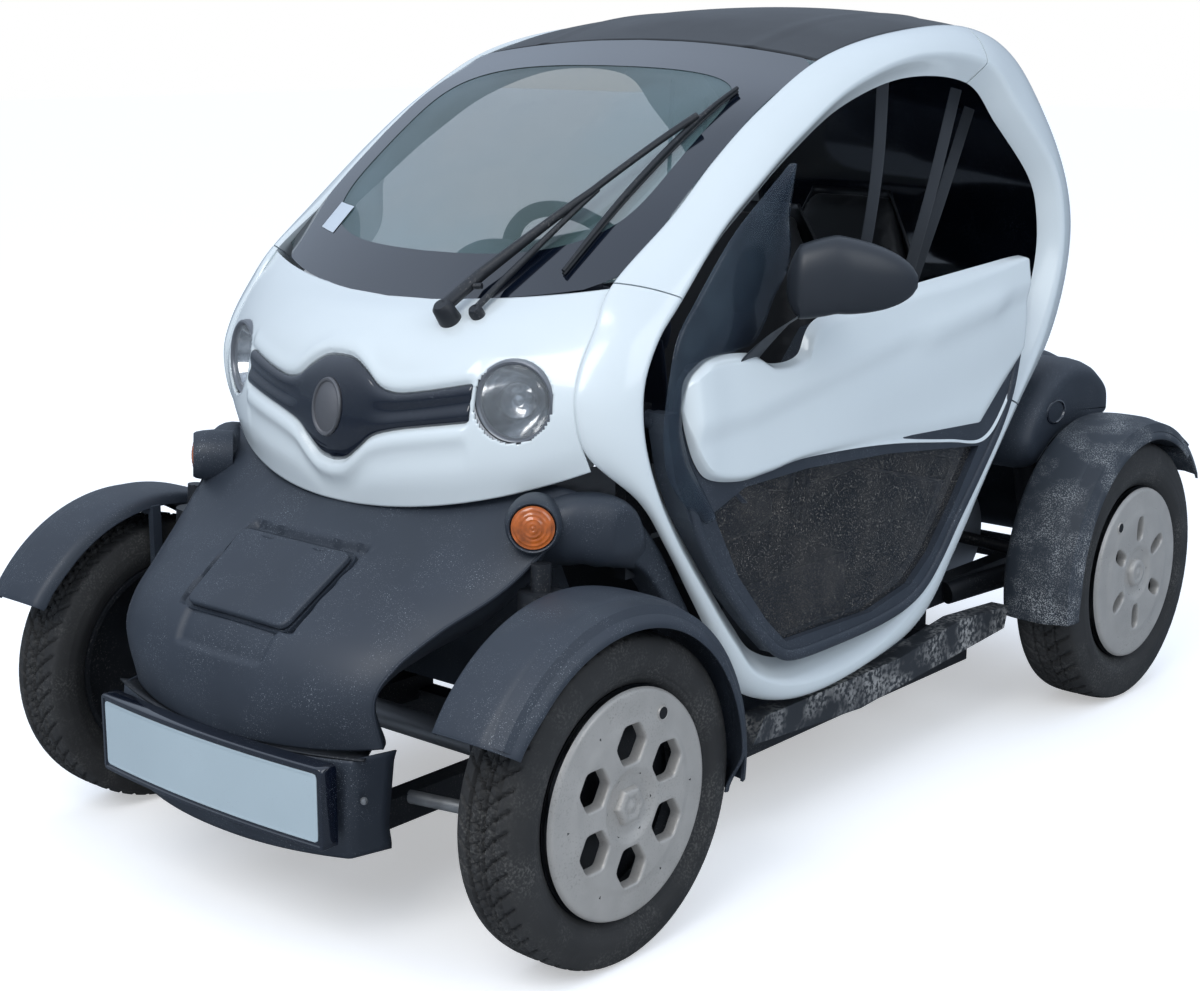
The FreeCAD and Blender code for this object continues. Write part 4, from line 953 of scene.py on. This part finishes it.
def bumper_shelf():
    """The bumper's top return: from its upper edge back and down under the hood."""
    share, run = np.meshgrid(np.linspace(-1, 1, 61), np.linspace(0, 1, 8), indexing="ij")
    y = -262 - 50 * (1 - np.abs(share) ** 2.2) + 8 + (96 - 22 * share ** 2) * run
    z = 328 - 8 * (1 - share ** 2) - 14 * run
    return grid(np.stack([share * (300 - 60 * run), y, z], -1), flip=True)


def plate_space(points):
    """Plate coordinates (across, up, outward) to the vehicle's: the plate bows a little with its holder."""
    x, up, out = points[..., 0], points[..., 1], points[..., 2]
    return np.stack([x, -327.0 + 14 * (x / 262) ** 2 - out, 261 + up], -1)


def rounded_plate(half, low, high, radius, stations):
    """A rectangle with round corners that stands in the plate's place."""
    corners = [(-half, low), (half, low), (half, high), (-half, high)]
    return plate(rounded(corners, radius), stations, plate_space)


piece("bumper_skin", bumper_skin(), DARK, "body", ["bumper"], solid=4.0)
piece("bumper_return", bumper_shelf(), STEEL, "body", solid=3.0)
piece("plate_holder", rounded_plate(272, -68, 66, 9, [(0, -26), (0, 1), (2, 3.4), (7, 3.6), (8.6, 1.6)]),
      GLOSS, "body")
piece("plate_blank", rounded_plate(260, -55, 55, 7, [(0, 0.8), (0, 2.6), (0.9, 3.2), (2.8, 3.2), (3.4, 2.7),
                                                     (6.5, 2.7)]),
      PLATE, "body", ["number_plate"])
studs = [turned([(4, 0.01), (3, 4), (0, 6), (-3, 6)], (x, -250, 262), (math.copysign(0.5, x), -0.85, 0), 20)
         for x in (292, -292)]
piece("bumper_studs", joined(*studs), PALE_METAL, "body")
# Wheels and mudguards

FRONT_TRACK, REAR_TRACK, FRONT_R, REAR_R = 1094.0, 1080.0, 263.0, 279.0


def wheel_points(centre, along, radius, turn):
    """Wheel coordinates to the vehicle's: along the axle outward, radius, and angle from the rear."""
    return np.stack([centre[0] + along + 0 * turn, centre[1] + radius * np.cos(turn),
                     centre[2] + radius * np.sin(turn)], -1)


def tread_depth(turn, across, rear):
    """Groove depth over the tread: two rings, and slanted sipes that lean the same way as the tyre
    rolls. Each groove is a smooth notch round its own line."""
    pitch = 2 * np.pi / (44 if rear else 52)
    slant = turn + 0.16 * np.abs(across) ** 0.8 * 1.2
    near = np.abs(((slant / pitch) % 1) - 0.5) * pitch
    sipe = 1 - smooth(near, 0.008, 0.016)
    fine = np.abs((((turn - 0.10 * np.abs(across)) / (pitch / 2)) % 1) - 0.5) * pitch / 2
    thin = 1 - smooth(fine, 0.004, 0.009)
    rings_at = (0.0, 0.42) if rear else (0.12, 0.52)
    ring_cut = sum(1 - smooth(np.abs(np.abs(across) - spot), 0.03, 0.055) for spot in rings_at)
    on_tread = 1 - smooth(np.abs(across), 0.90, 1.06)
    return (5.5 * np.clip(ring_cut, 0, 1) + 4.5 * sipe + 2.0 * thin * (np.abs(across) < 0.5)) * on_tread


def tyre_mesh(centre, radius, width, rear, steps):
    """A tyre: its section carried round the axle, the tread cut by its groove depth."""
    half = width / 2.0
    section = curve([(-half * 0.72, 184), (-half * 0.80, 190), (-half * 0.99, 212), (-half * 1.0, 230),
                     (-half * 0.93, radius - 16), (-half * 0.80, radius - 5), (-half * 0.5, radius - 0.6),
                     (0, radius), (half * 0.5, radius - 0.6), (half * 0.80, radius - 5),
                     (half * 0.93, radius - 16), (half * 1.0, 230), (half * 0.99, 212),
                     (half * 0.80, 190), (half * 0.72, 184)], 84)
    turn = turns(steps)[:, None]
    across = section[:, 0] / (half * 0.80)
    tread = smooth(section[:, 1], radius - 14, radius - 7)
    depth = tread_depth(turn, across[None, :], rear) * tread[None, :]
    block = 1.6 * smooth(np.sin(turn * 60), -0.2, 0.2) * bump(section[:, 1], radius - 22, 8)[None, :]
    rib = sum(bump(section[:, 1], spot, 1.6) for spot in (194, 203, 232))[None, :] * 1.0
    reach = section[:, 1][None, :] - depth - 0.6 * block
    along = section[:, 0][None, :] + np.sign(section[:, 0])[None, :] * (rib - 1.0) + 0 * turn
    return grid(wheel_points(centre, along, reach, turn), wrap_u=True)


def cover_height(radius, face):
    """How far out the cover stands at a radius: a rounded rim, a flat outer band, a raised web and a
    dished middle."""
    return face + np.interp(radius, [0, 8, 20, 34, 46, 60, 128, 140, 168, 176, 181, 182],
                            [-4, -4.5, -5, -8, -6, 1.5, 3.0, 0.5, 0.0, -0.5, -3.5, -8])


def cover_sector(centre, face, middle_turn, rear):
    """One sixth of the cover: rings that grow from its hole to the sector's own border, with the
    hole's rounded lip and its wall going in."""
    turn = turns(96)
    hole_at = 96.0 if rear else 98.0
    if rear:
        hole = 1 / ((np.abs(np.cos(turn)) / 27.0) ** 2.8 + (np.abs(np.sin(turn)) / 15.5) ** 2.8) ** (1 / 2.8)
    else:
        fold = np.abs(((turn / (np.pi / 3) + 0.5) % 1) - 0.5) * np.pi / 3
        hole = 32.0 / np.cos(fold) - 1.6 * bump(fold, np.pi / 6, 0.10)
    inner, outer, half = 50.0, 146.0, np.pi / 6
    spread_at, side = np.linspace(-half, half, 80), np.linspace(inner, outer, 80)
    border = np.concatenate([
        *(np.stack([reach * np.cos(spread_at), reach * np.sin(spread_at)], 1) for reach in (inner, outer)),
        *(np.stack([side * np.cos(half), sign * side * np.sin(half)], 1) for sign in (1, -1))]) - (hole_at, 0)
    angle, reach = np.arctan2(border[:, 1], border[:, 0]), np.hypot(border[:, 0], border[:, 1])
    order = np.argsort(angle)
    limit = np.interp((turn + np.pi) % (2 * np.pi) - np.pi, angle[order], reach[order], period=2 * np.pi)
    rows = [(hole + shrink, drop)
            for shrink, drop in ((-2.2, -20), (-1.6, -11), (-1.0, -4.5), (0.0, -1.0), (1.6, 0.0))]
    rows += [(hole + 1.6 + (limit - hole - 1.6) * share, 0.0) for share in np.linspace(0, 1, 9)[1:]]
    sheets = []
    for reach_row, drop in rows:
        x, y = hole_at + reach_row * np.cos(turn), reach_row * np.sin(turn)
        radius = np.hypot(x, y)
        sheets.append(wheel_points(centre, cover_height(radius, face) + drop, radius,
                                   np.arctan2(y, x) + middle_turn))
    return grid(np.stack(sheets), wrap_v=True)


def cover_band(centre, face, first, last, count):
    """A band of the cover between two radii."""
    turn, radius = turns(240)[:, None], np.linspace(first, last, count)[None, :]
    return grid(wheel_points(centre, cover_height(radius, face) + 0 * turn, radius, turn), wrap_u=True)


def hub_dome(centre, face, rear):
    """The middle: a six-sided raised plateau on a front cover, a round dome on a rear one."""
    turn = turns(96)
    fold = np.abs(((turn / (np.pi / 3)) % 1) - 0.5) * np.pi / 3
    rows = []
    for size, rise in ((30, -8.0), (28, 1.0), (25.5, 4.0), (17, 4.0), (14.5, 1.5), (12, 1.2), (7, 3.5),
                       (0.01, 5.0)):
        radius = np.full(96, float(size)) if rear or size < 12 else size * 0.93 / np.cos(fold)
        rows.append(wheel_points(centre, face + rise, radius, turn))
    return grid(np.stack(rows), wrap_v=True)


def wheel_inside(centre, half):
    """The dark steel wheel behind the cover: rim well and disc."""
    profile = [(-half + 14, 176), (-half + 12, 184), (-half + 18, 186), (-half + 24, 172), (0, 160), (2, 60),
               (6, 20), (10, 20), (12, 60), (12, 150), (half - 26, 165), (half - 16, 184)]
    return turned(profile, centre, AXLE_WAY, 72)


def valve(centre, face, rear):
    """A round valve hole near the rim: its lip, and a near-black disc over its middle that is painted shade
    for the hole's dark inside.
    """
    spot = wheel_points(centre, np.array(face + 0.6), np.array(148.0), np.array(2.25 if rear else 1.05))
    return [turned(profile, spot, AXLE_WAY, 32) for profile in (
        [(1.4, 9.5), (2.2, 11), (0, 12.5), (-4, 12.5)], [(1.8, 0.01), (1.8, 9.6), (-2, 9.6)])]


AXLE_WAY = (1, 0, 0)
# The valve hole's near-black disc: painted shade standing for the shaded inside of the hole
HOLE_PAINTED_SHADE = finish("valve_hole_painted_shade", (0.006, 0.006, 0.007), 0.6)
for end, track, y, radius, width, rear in (("front", FRONT_TRACK, 0.0, FRONT_R, 125.0, False),
                                           ("rear", REAR_TRACK, WHEELBASE, REAR_R, 145.0, True)):
    centre = np.array((track / 2, y, radius))
    face = width / 2 + 1.5
    rubber = tyre_mesh(centre, radius, width, rear, 660 if rear else 780)
    sectors = [cover_sector(centre, face, math.radians(60 * k + 30), rear) for k in range(6)]
    lip, dark = valve(centre, face, rear)
    cover = joined(*sectors, cover_band(centre, face, 146, 182, 16), cover_band(centre, face, 20, 50, 12),
                   hub_dome(centre, face, rear), lip)
    for side, sided in SIDED:
        at = "_%s_%s" % (end, side)
        piece("tyre" + at + "_tread", sided(rubber), RUBBER, "wheel" + at, ["tyre" + at])
        piece("cover" + at, sided(cover), SILVER, "wheel" + at, ["wheel" + at], sharp=55)
        piece("rim" + at, sided(wheel_inside(centre, width / 2)), STEEL, "wheel" + at)
        # Painted shade: a near-black disc stands where the valve hole's shaded inside would show
        piece("valve" + at, sided(dark), HOLE_PAINTED_SHADE, "wheel" + at)


def mudguard(centre, table, half, lip_share, tail):
    """A mudguard: across, a crowned top, a soft shoulder and a turned-down outer lip; along, an arc
    about its own centre. The lip share narrows its rear end across, and the tail moves that end's reach from
    the axle."""
    first, last, off_y, off_z, radius = table
    turn = np.radians(np.linspace(first, last, 96))[:, None]
    profile = curve([(-half, -20), (-half + 5, -7), (-half + 16, -1), (-half * 0.4, 2.6), (half * 0.2, 2.8),
                     (half * 0.42, 1.0), (half * 0.50, -2.5), (half * 0.82, -15), (half, -28),
                     (half + 1.0, -36)], 60)
    along, rise = profile[:, 0][None, :], profile[:, 1][None, :]
    run = (np.degrees(turn) - first) / (last - first)
    draw = 1 - lip_share * smooth(0.10 - run, 0, 0.10)
    front = smooth(run, 0.90, 1.0)
    along = along * draw * (1 - 0.04 * front)
    reach = radius + rise + tail * smooth(0.14 - run, 0, 0.14) ** 1.5 + 3.0 * front
    return grid(wheel_points(centre + (0, off_y, off_z), along, reach, turn), flip=True)


def rear_tail():
    """The rear mudguard's spur: its strip narrows to a point and curls up a little."""
    run = np.linspace(0, 1, 26)
    y = np.interp(run, [0, 0.5, 1], [1876, 1936, 2004])
    z = np.interp(run, [0, 0.35, 0.7, 1], [551, 529, 506, 491])
    half = np.interp(run, [0, 0.3, 0.75, 1], [74, 66, 34, 7])
    across = np.linspace(-1, 1, 19)
    points = np.stack([542 + half[:, None] * across, y[:, None] + 0 * across,
                       z[:, None] - np.interp(run, [0, 0.5, 1], [18, 12, 3])[:, None] * across ** 4], -1)
    return grid(points)


front_guard = mudguard(np.array((FRONT_TRACK / 2 + 4, 0, FRONT_R)), (-12, 149, -21.7, 3.0, 314.5), 76,
                       0.35, -4)
rear_guard = mudguard(np.array((REAR_TRACK / 2 + 2, WHEELBASE, REAR_R)), (50, 190, 9.5, 3.6, 318.0), 79,
                      0.0, 0)
for side, sided in SIDED:
    piece("mudguard_front_" + side + "_skin", sided(front_guard), DARK, "knuckle_" + side,
          solid=3.5, bevel=1.0)
piece("rear_mudguard_skins", both(joined(rear_guard, rear_tail())), DUSTY, "body", solid=3.5)


# Cabin

SWELL_CAP, SWELL_GRID, SWELL_STEPS = 0.010, 0.010, 12


def bake(obj):
    """Applies every modifier of the piece to its mesh."""
    graph = bpy.context.evaluated_depsgraph_get()
    solid = bpy.data.meshes.new_from_object(obj.evaluated_get(graph))
    obj.modifiers.clear()
    obj.data = solid


def places(mesh):
    """The mesh's points as rows."""
    flat = np.empty(len(mesh.vertices) * 3)
    mesh.vertices.foreach_get("co", flat)
    return flat.reshape(-1, 3)


def swell(obj):
    """Cloth pressure on a remeshed copy, with no point moved further than the cap."""
    shape = obj.modifiers.new("even", "REMESH")
    shape.mode, shape.voxel_size = "VOXEL", SWELL_GRID
    bake(obj)
    before = places(obj.data)
    cloth = obj.modifiers.new("cloth", "CLOTH").settings
    cloth.use_pressure = True
    cloth.uniform_pressure_force = 4.0
    cloth.effector_weights.gravity = 0.0
    cloth.quality = 4
    scene = bpy.context.scene
    for step in range(1, SWELL_STEPS + 1):
        scene.frame_set(step)
    bake(obj)
    scene.frame_set(1)
    mesh = obj.data
    move = places(mesh) - before
    length = np.linalg.norm(move, axis=1, keepdims=True)
    move *= np.minimum(1.0, SWELL_CAP / np.maximum(length, 1e-9))
    mesh.vertices.foreach_set("co", (before + move).ravel())
    mesh.polygons.foreach_set("use_smooth", [True] * len(mesh.polygons))
    mesh.update()


def box_rings(stations):
    """Sections along a path: rows of centre y, z, half width, half depth and lean in degrees."""
    a, b = superellipse(48, 0.35, 0.35)
    row = read_rows(stations, np.linspace(0, len(stations) - 1, 7 * len(stations)))
    lean = np.radians(row[:, 4])
    x = row[:, 2][:, None] * a
    y = row[:, 0][:, None] - row[:, 3][:, None] * b * np.sin(lean)[:, None]
    z = row[:, 1][:, None] + row[:, 3][:, None] * b * np.cos(lean)[:, None]
    return np.stack([x, y, z], -1)


# Padded pieces: closed forms of superellipse sections, swollen a little by cloth pressure
for name, stations, replaced in (
        ("driver_squab", [(606, 478, 150, 30, 0), (640, 486, 196, 48, 0), (760, 492, 205, 46, -3),
                          (880, 486, 203, 44, -5), (960, 488, 190, 40, -8)], ["driver_seat"]),
        ("driver_back", [(1000, 500, 185, 40, 78), (1030, 620, 204, 44, 78), (1062, 780, 204, 44, 80),
                         (1092, 930, 176, 38, 80), (1112, 1010, 120, 32, 80), (1120, 1050, 96, 24, 80)], []),
        ("passenger_squab", [(1150, 520, 130, 20, 0), (1180, 526, 160, 34, 0), (1260, 530, 166, 36, 0),
                             (1350, 536, 160, 36, -6)], ["passenger_seat"]),
        ("passenger_back", [(1404, 560, 150, 30, 78), (1428, 700, 168, 34, 78), (1456, 880, 164, 34, 79),
                            (1478, 1020, 120, 28, 80), (1484, 1062, 90, 20, 80)], [])):
    pad = piece(name, ends_closed(box_rings(stations)), SEAT, "body", replaced)
    swell(pad)


def seat_shell(rows):
    """The moulded shell behind a cushion: a strip whose sides curl forward."""
    row = read_rows(rows, np.linspace(0, len(rows) - 1, 40))
    across = np.linspace(-1, 1, 33)
    y = row[:, 0][:, None] - 34 * np.abs(across) ** 5
    z = row[:, 1][:, None] + 0 * across
    return grid(np.stack([row[:, 2][:, None] * across, y, z], -1), flip=True)


SHELL = finish("seat_back_shell", (0.020, 0.022, 0.026), 0.4, shade=0.8, grain_depth=0.1)
shells = [seat_shell([(1064, 440, 196), (1078, 600, 214), (1108, 780, 214), (1140, 940, 186),
                      (1160, 1060, 104)]),
          seat_shell([(1440, 500, 160), (1466, 700, 178), (1492, 900, 172), (1508, 1066, 96)])]
piece("seat_shells", joined(*shells), SHELL, "body", solid=6.0)


def strap(path):
    """Flat webbing: a thin rounded strip carried along a line, its face turned by an angle."""
    line = curve(path, 60)
    way = unit(np.gradient(line, axis=0))
    flat = np.array((math.cos(STRAP_TURN), math.sin(STRAP_TURN), 0.0))
    side = unit(flat - way * (way @ flat)[:, None])
    return ends_closed(carried(line, superellipse(16, 1, 0.5), STRAP_WIDE / 2, side, 1, np.cross(way, side)))


STRAP_WIDE, STRAP_TURN = 28, 1.2
belts = [strap(path) for path in (
    [(330, 1392, 1250), (300, 1340, 1060), (262, 1290, 860), (236, 1240, 640)],
    [(352, 1300, 1290), (330, 1262, 1100), (300, 1220, 900), (262, 1130, 560)],
    [(318, 1090, 1320), (296, 1112, 1130), (262, 1110, 900), (236, 1050, 560)])]
piece("belt_straps", joined(*belts, *[mirrored(b) for b in belts[:2]]), BELT, "body")


def rim_ring():
    """The steering wheel's rim: a round grip whose thickness swells at the thumb rests."""
    tilt = math.radians(28.0)
    axis = np.array((0, math.cos(tilt), math.sin(tilt)))
    hub = np.array((0, 600.0, 935.0))
    side = np.array((1.0, 0, 0))
    up = np.cross(axis, side)
    turn, around = turns(128)[:, None, None], turns(20)[None, :, None]
    grip = 14.5 + 1.8 * bump(np.cos(turn * 2), 0.4, 0.4)
    out = side * np.cos(turn) + up * np.sin(turn)
    points = hub + out * (172 + grip * np.cos(around)) + axis * grip * np.sin(around)
    rim = grid(points, wrap_u=True, wrap_v=True, flip=True)
    pad = turned([(13, 0.01), (12, 30), (6, 52), (-4, 60), (-24, 56), (-34, 46), (-34, 0.01)],
                 hub - axis * 6, axis)
    taper = np.interp(np.linspace(0, 1, 12), [0, 0.6, 1], [1.7, 1.0, 0.9])
    spokes = [tube([hub - axis * 14 + way * r for r in np.linspace(30, 162, 12)], 12, 14, taper)
              for way in (side, -side, up)]
    return joined(rim, pad, *spokes)


piece("steering_grip", rim_ring(), WHEEL_GRIP, "steering_wheel", ["steering_wheel"])


def hump():
    """The instrument hump: a half-dome over the column, its section a superellipse that shrinks."""
    share = np.linspace(0, 1, 24)
    path_y = 300 + 170 * share
    height = 1040 - 60 * (2 * share - 0.9) ** 2
    wide = 118 * np.clip(1 - np.abs(2 * share - 0.95) ** 3.0, 0, 1) ** 0.5 + 6
    turn = np.linspace(0, np.pi, 30)
    x = wide[:, None] * signed_power(np.cos(turn), 0.8)
    z = 900 + (height - 900)[:, None] * np.sin(turn) ** 0.75
    return grid(np.stack([x, path_y[:, None] + 0 * x, z], -1), flip=True)


def dash_top():
    """The dash: a soft slab under the screen with rolled edges, higher at its front."""
    across, run = np.meshgrid(np.linspace(-1, 1, 80), np.linspace(0, 1, 40), indexing="ij")
    y = 168 + 282 * run + 26 * np.abs(across) ** 2 * (1 - run)
    z = (905 + 34 * np.sin(np.pi * np.clip(run * 0.9, 0, 1)) - 150 * smooth(run, 0.86, 1.0)
         - 30 * np.abs(across) ** 4)
    return grid(np.stack([across * 330, y, z], -1))


piece("dash_slab", dash_top(), WHEEL_GRIP, "body", solid=4.0)
piece("dash_hump", hump(), WHEEL_GRIP, "body", ["dashboard"], solid=4.0)


# Wiper and small pieces

def on_screen(x, level, stand):
    return panel(SCREEN, np.asarray(x, float), np.asarray(level, float), np.asarray(stand, float))


def wiper():
    """Two links from the base meet near the blade's middle, with a slim blade and its rubber."""
    t = np.linspace(0, 1, 24)
    way = (0.0, -0.62, 0.79)
    caps = [turned([(26, 0.01), (26, 12), (20, 17), (-10, 19), (-30, 17)], (172, 66, 958), way, 40),
            turned([(16, 0.01), (16, 9), (10, 12), (-16, 12)], (214, 92, 960), way, 32)]
    arm = tube(np.concatenate([[(172, 60, 974)], on_screen(176 + 92 * t, 0.06 + 0.80 * t, 22 + 6 * t)]),
               8.5, 12, np.r_[1.3, np.linspace(1.25, 0.75, 24)])
    link = tube(np.concatenate([[(214, 88, 972)], on_screen(216 + 56 * t, 0.04 + 0.86 * t, 14 + 10 * t)]),
                5.0, 10, np.r_[1.2, np.linspace(1.2, 0.9, 24)])
    reach = tube(on_screen(266 + 66 * t, 0.84 + 0.92 * t, 28 - 4 * t), 6.0, 10)
    spine = tube(on_screen(302 + 34 * t, 0.12 + 2.15 * t, 11 + 4 * np.sin(np.pi * t)), 5.2, 10,
                 0.5 + 0.5 * np.sin(np.pi * np.clip(t, 0.05, 0.95)) ** 0.5)
    rubber = tube(on_screen(300 + 34 * t, 0.12 + 2.15 * t, 4.5), 3.2, 8)
    bar = tube(on_screen(186 + 14 * t, -0.05 + 0 * t, 26), 5, 8)
    return joined(*caps, arm, link, reach, spine, rubber, bar)


piece("wiper_set", wiper(), STEEL, "body", ["wiper"])


def sticker():
    """A blank label low on the screen's inner side."""
    x, level = np.meshgrid(np.linspace(-322, -268, 8), np.linspace(0.33, 0.62, 8), indexing="ij")
    return grid(panel(SCREEN, x, level, 2.4))


piece("screen_label", sticker(), LABEL, "body")


# Rear housing

REAR_OUTLINE = [(1442, 600), (1480, 640), (1560, 690), (1640, 718), (1730, 722), (1800, 712), (1870, 684),
                (1908, 646), (1932, 560), (1932, 480), (1940, 420), (1960, 390), (1968, 340), (1960, 296),
                (1930, 272), (1884, 274), (1862, 330), (1880, 400), (1880, 540), (1860, 620), (1780, 672),
                (1650, 682), (1540, 634), (1460, 574)]
HAUNCH_OUTLINE = [(1476, 560), (1490, 600), (1524, 642), (1580, 684), (1644, 712), (1704, 716), (1764, 704),
                  (1812, 680), (1850, 646), (1860, 606), (1850, 574), (1790, 556), (1690, 556), (1610, 543),
                  (1540, 502), (1496, 520)]


def side_plate(outline, count, steps):
    """Half of a rear form: its outline (y, z) carried sideways through steps of (shrink, x)."""
    rim = curve(outline, count, closed=True)[:-1][::-1]
    return plate(rim, steps, lambda p: np.stack([p[..., 2], p[..., 0], p[..., 1]], -1))


def oval_recess():
    """The dark oval hollow in each haunch: a raised lip round a dished cup."""
    turn = turns(48)
    rows = [np.stack([446 + out + 0 * turn, 1600 + size * 34 * np.cos(turn), 618 + size * 22 * np.sin(turn)],
                     -1)
            for size, out in ((1.22, 0), (1.16, 4), (1.04, 5), (0.96, 2), (0.86, -0.5), (0.4, -0.8),
                              (0.0, -0.8))]
    return grid(np.stack(rows), wrap_v=True)


def tail_lamp(profile):
    """A form turned about each tail lamp's axis."""
    return joined(*(turned(profile, (x, 1934, 500), (0, 1, 0)) for x in (235, -235)))


haunch = side_plate(HAUNCH_OUTLINE, 120, [(6, 60), (0, 60), (0, 330), (0, 396), (3, 416), (9, 432), (18, 443),
                                          (28, 448)])
rear_half = side_plate(REAR_OUTLINE, 160, [(4, 0), (0, 0), (0, 290), (2, 312), (6, 324), (12, 331)])
piece("haunch_skins", both(haunch), DARK, "body")
piece("rear_shell_skin", both(rear_half), DARK, "body", ["rear_body"])
piece("haunch_recesses", both(oval_recess()), GLOSS, "body")
piece("tail_lamp_lenses", tail_lamp(ringed_dome(42, 16, 9, 8, 0.8, 0.8) + [(-6, 42.5)]), RED, "body",
      ["tail_lamps"])
piece("tail_lamp_bezels", tail_lamp([(-8, 52), (3, 50), (5, 46), (3, 43.5), (-8, 43)]), STEEL, "body")


def roof_tail():
    """The closing strip behind the roof: from the roof's rear edge down to the rear screen's top."""
    share, run = np.meshgrid(np.linspace(-1, 1, 61), np.linspace(0, 1, 8), indexing="ij")
    start = panel(ROOF, share * 400, np.full(share.shape, len(ROOF) - 1.0), -2.0)
    end = panel(REAR_PANEL, share * 400, np.full(share.shape, 0.12), -5.0)
    return grid(start + (end - start) * run[..., None])


piece("roof_tail_strip", roof_tail(), ROOF_BLACK, "body", solid=3.0)
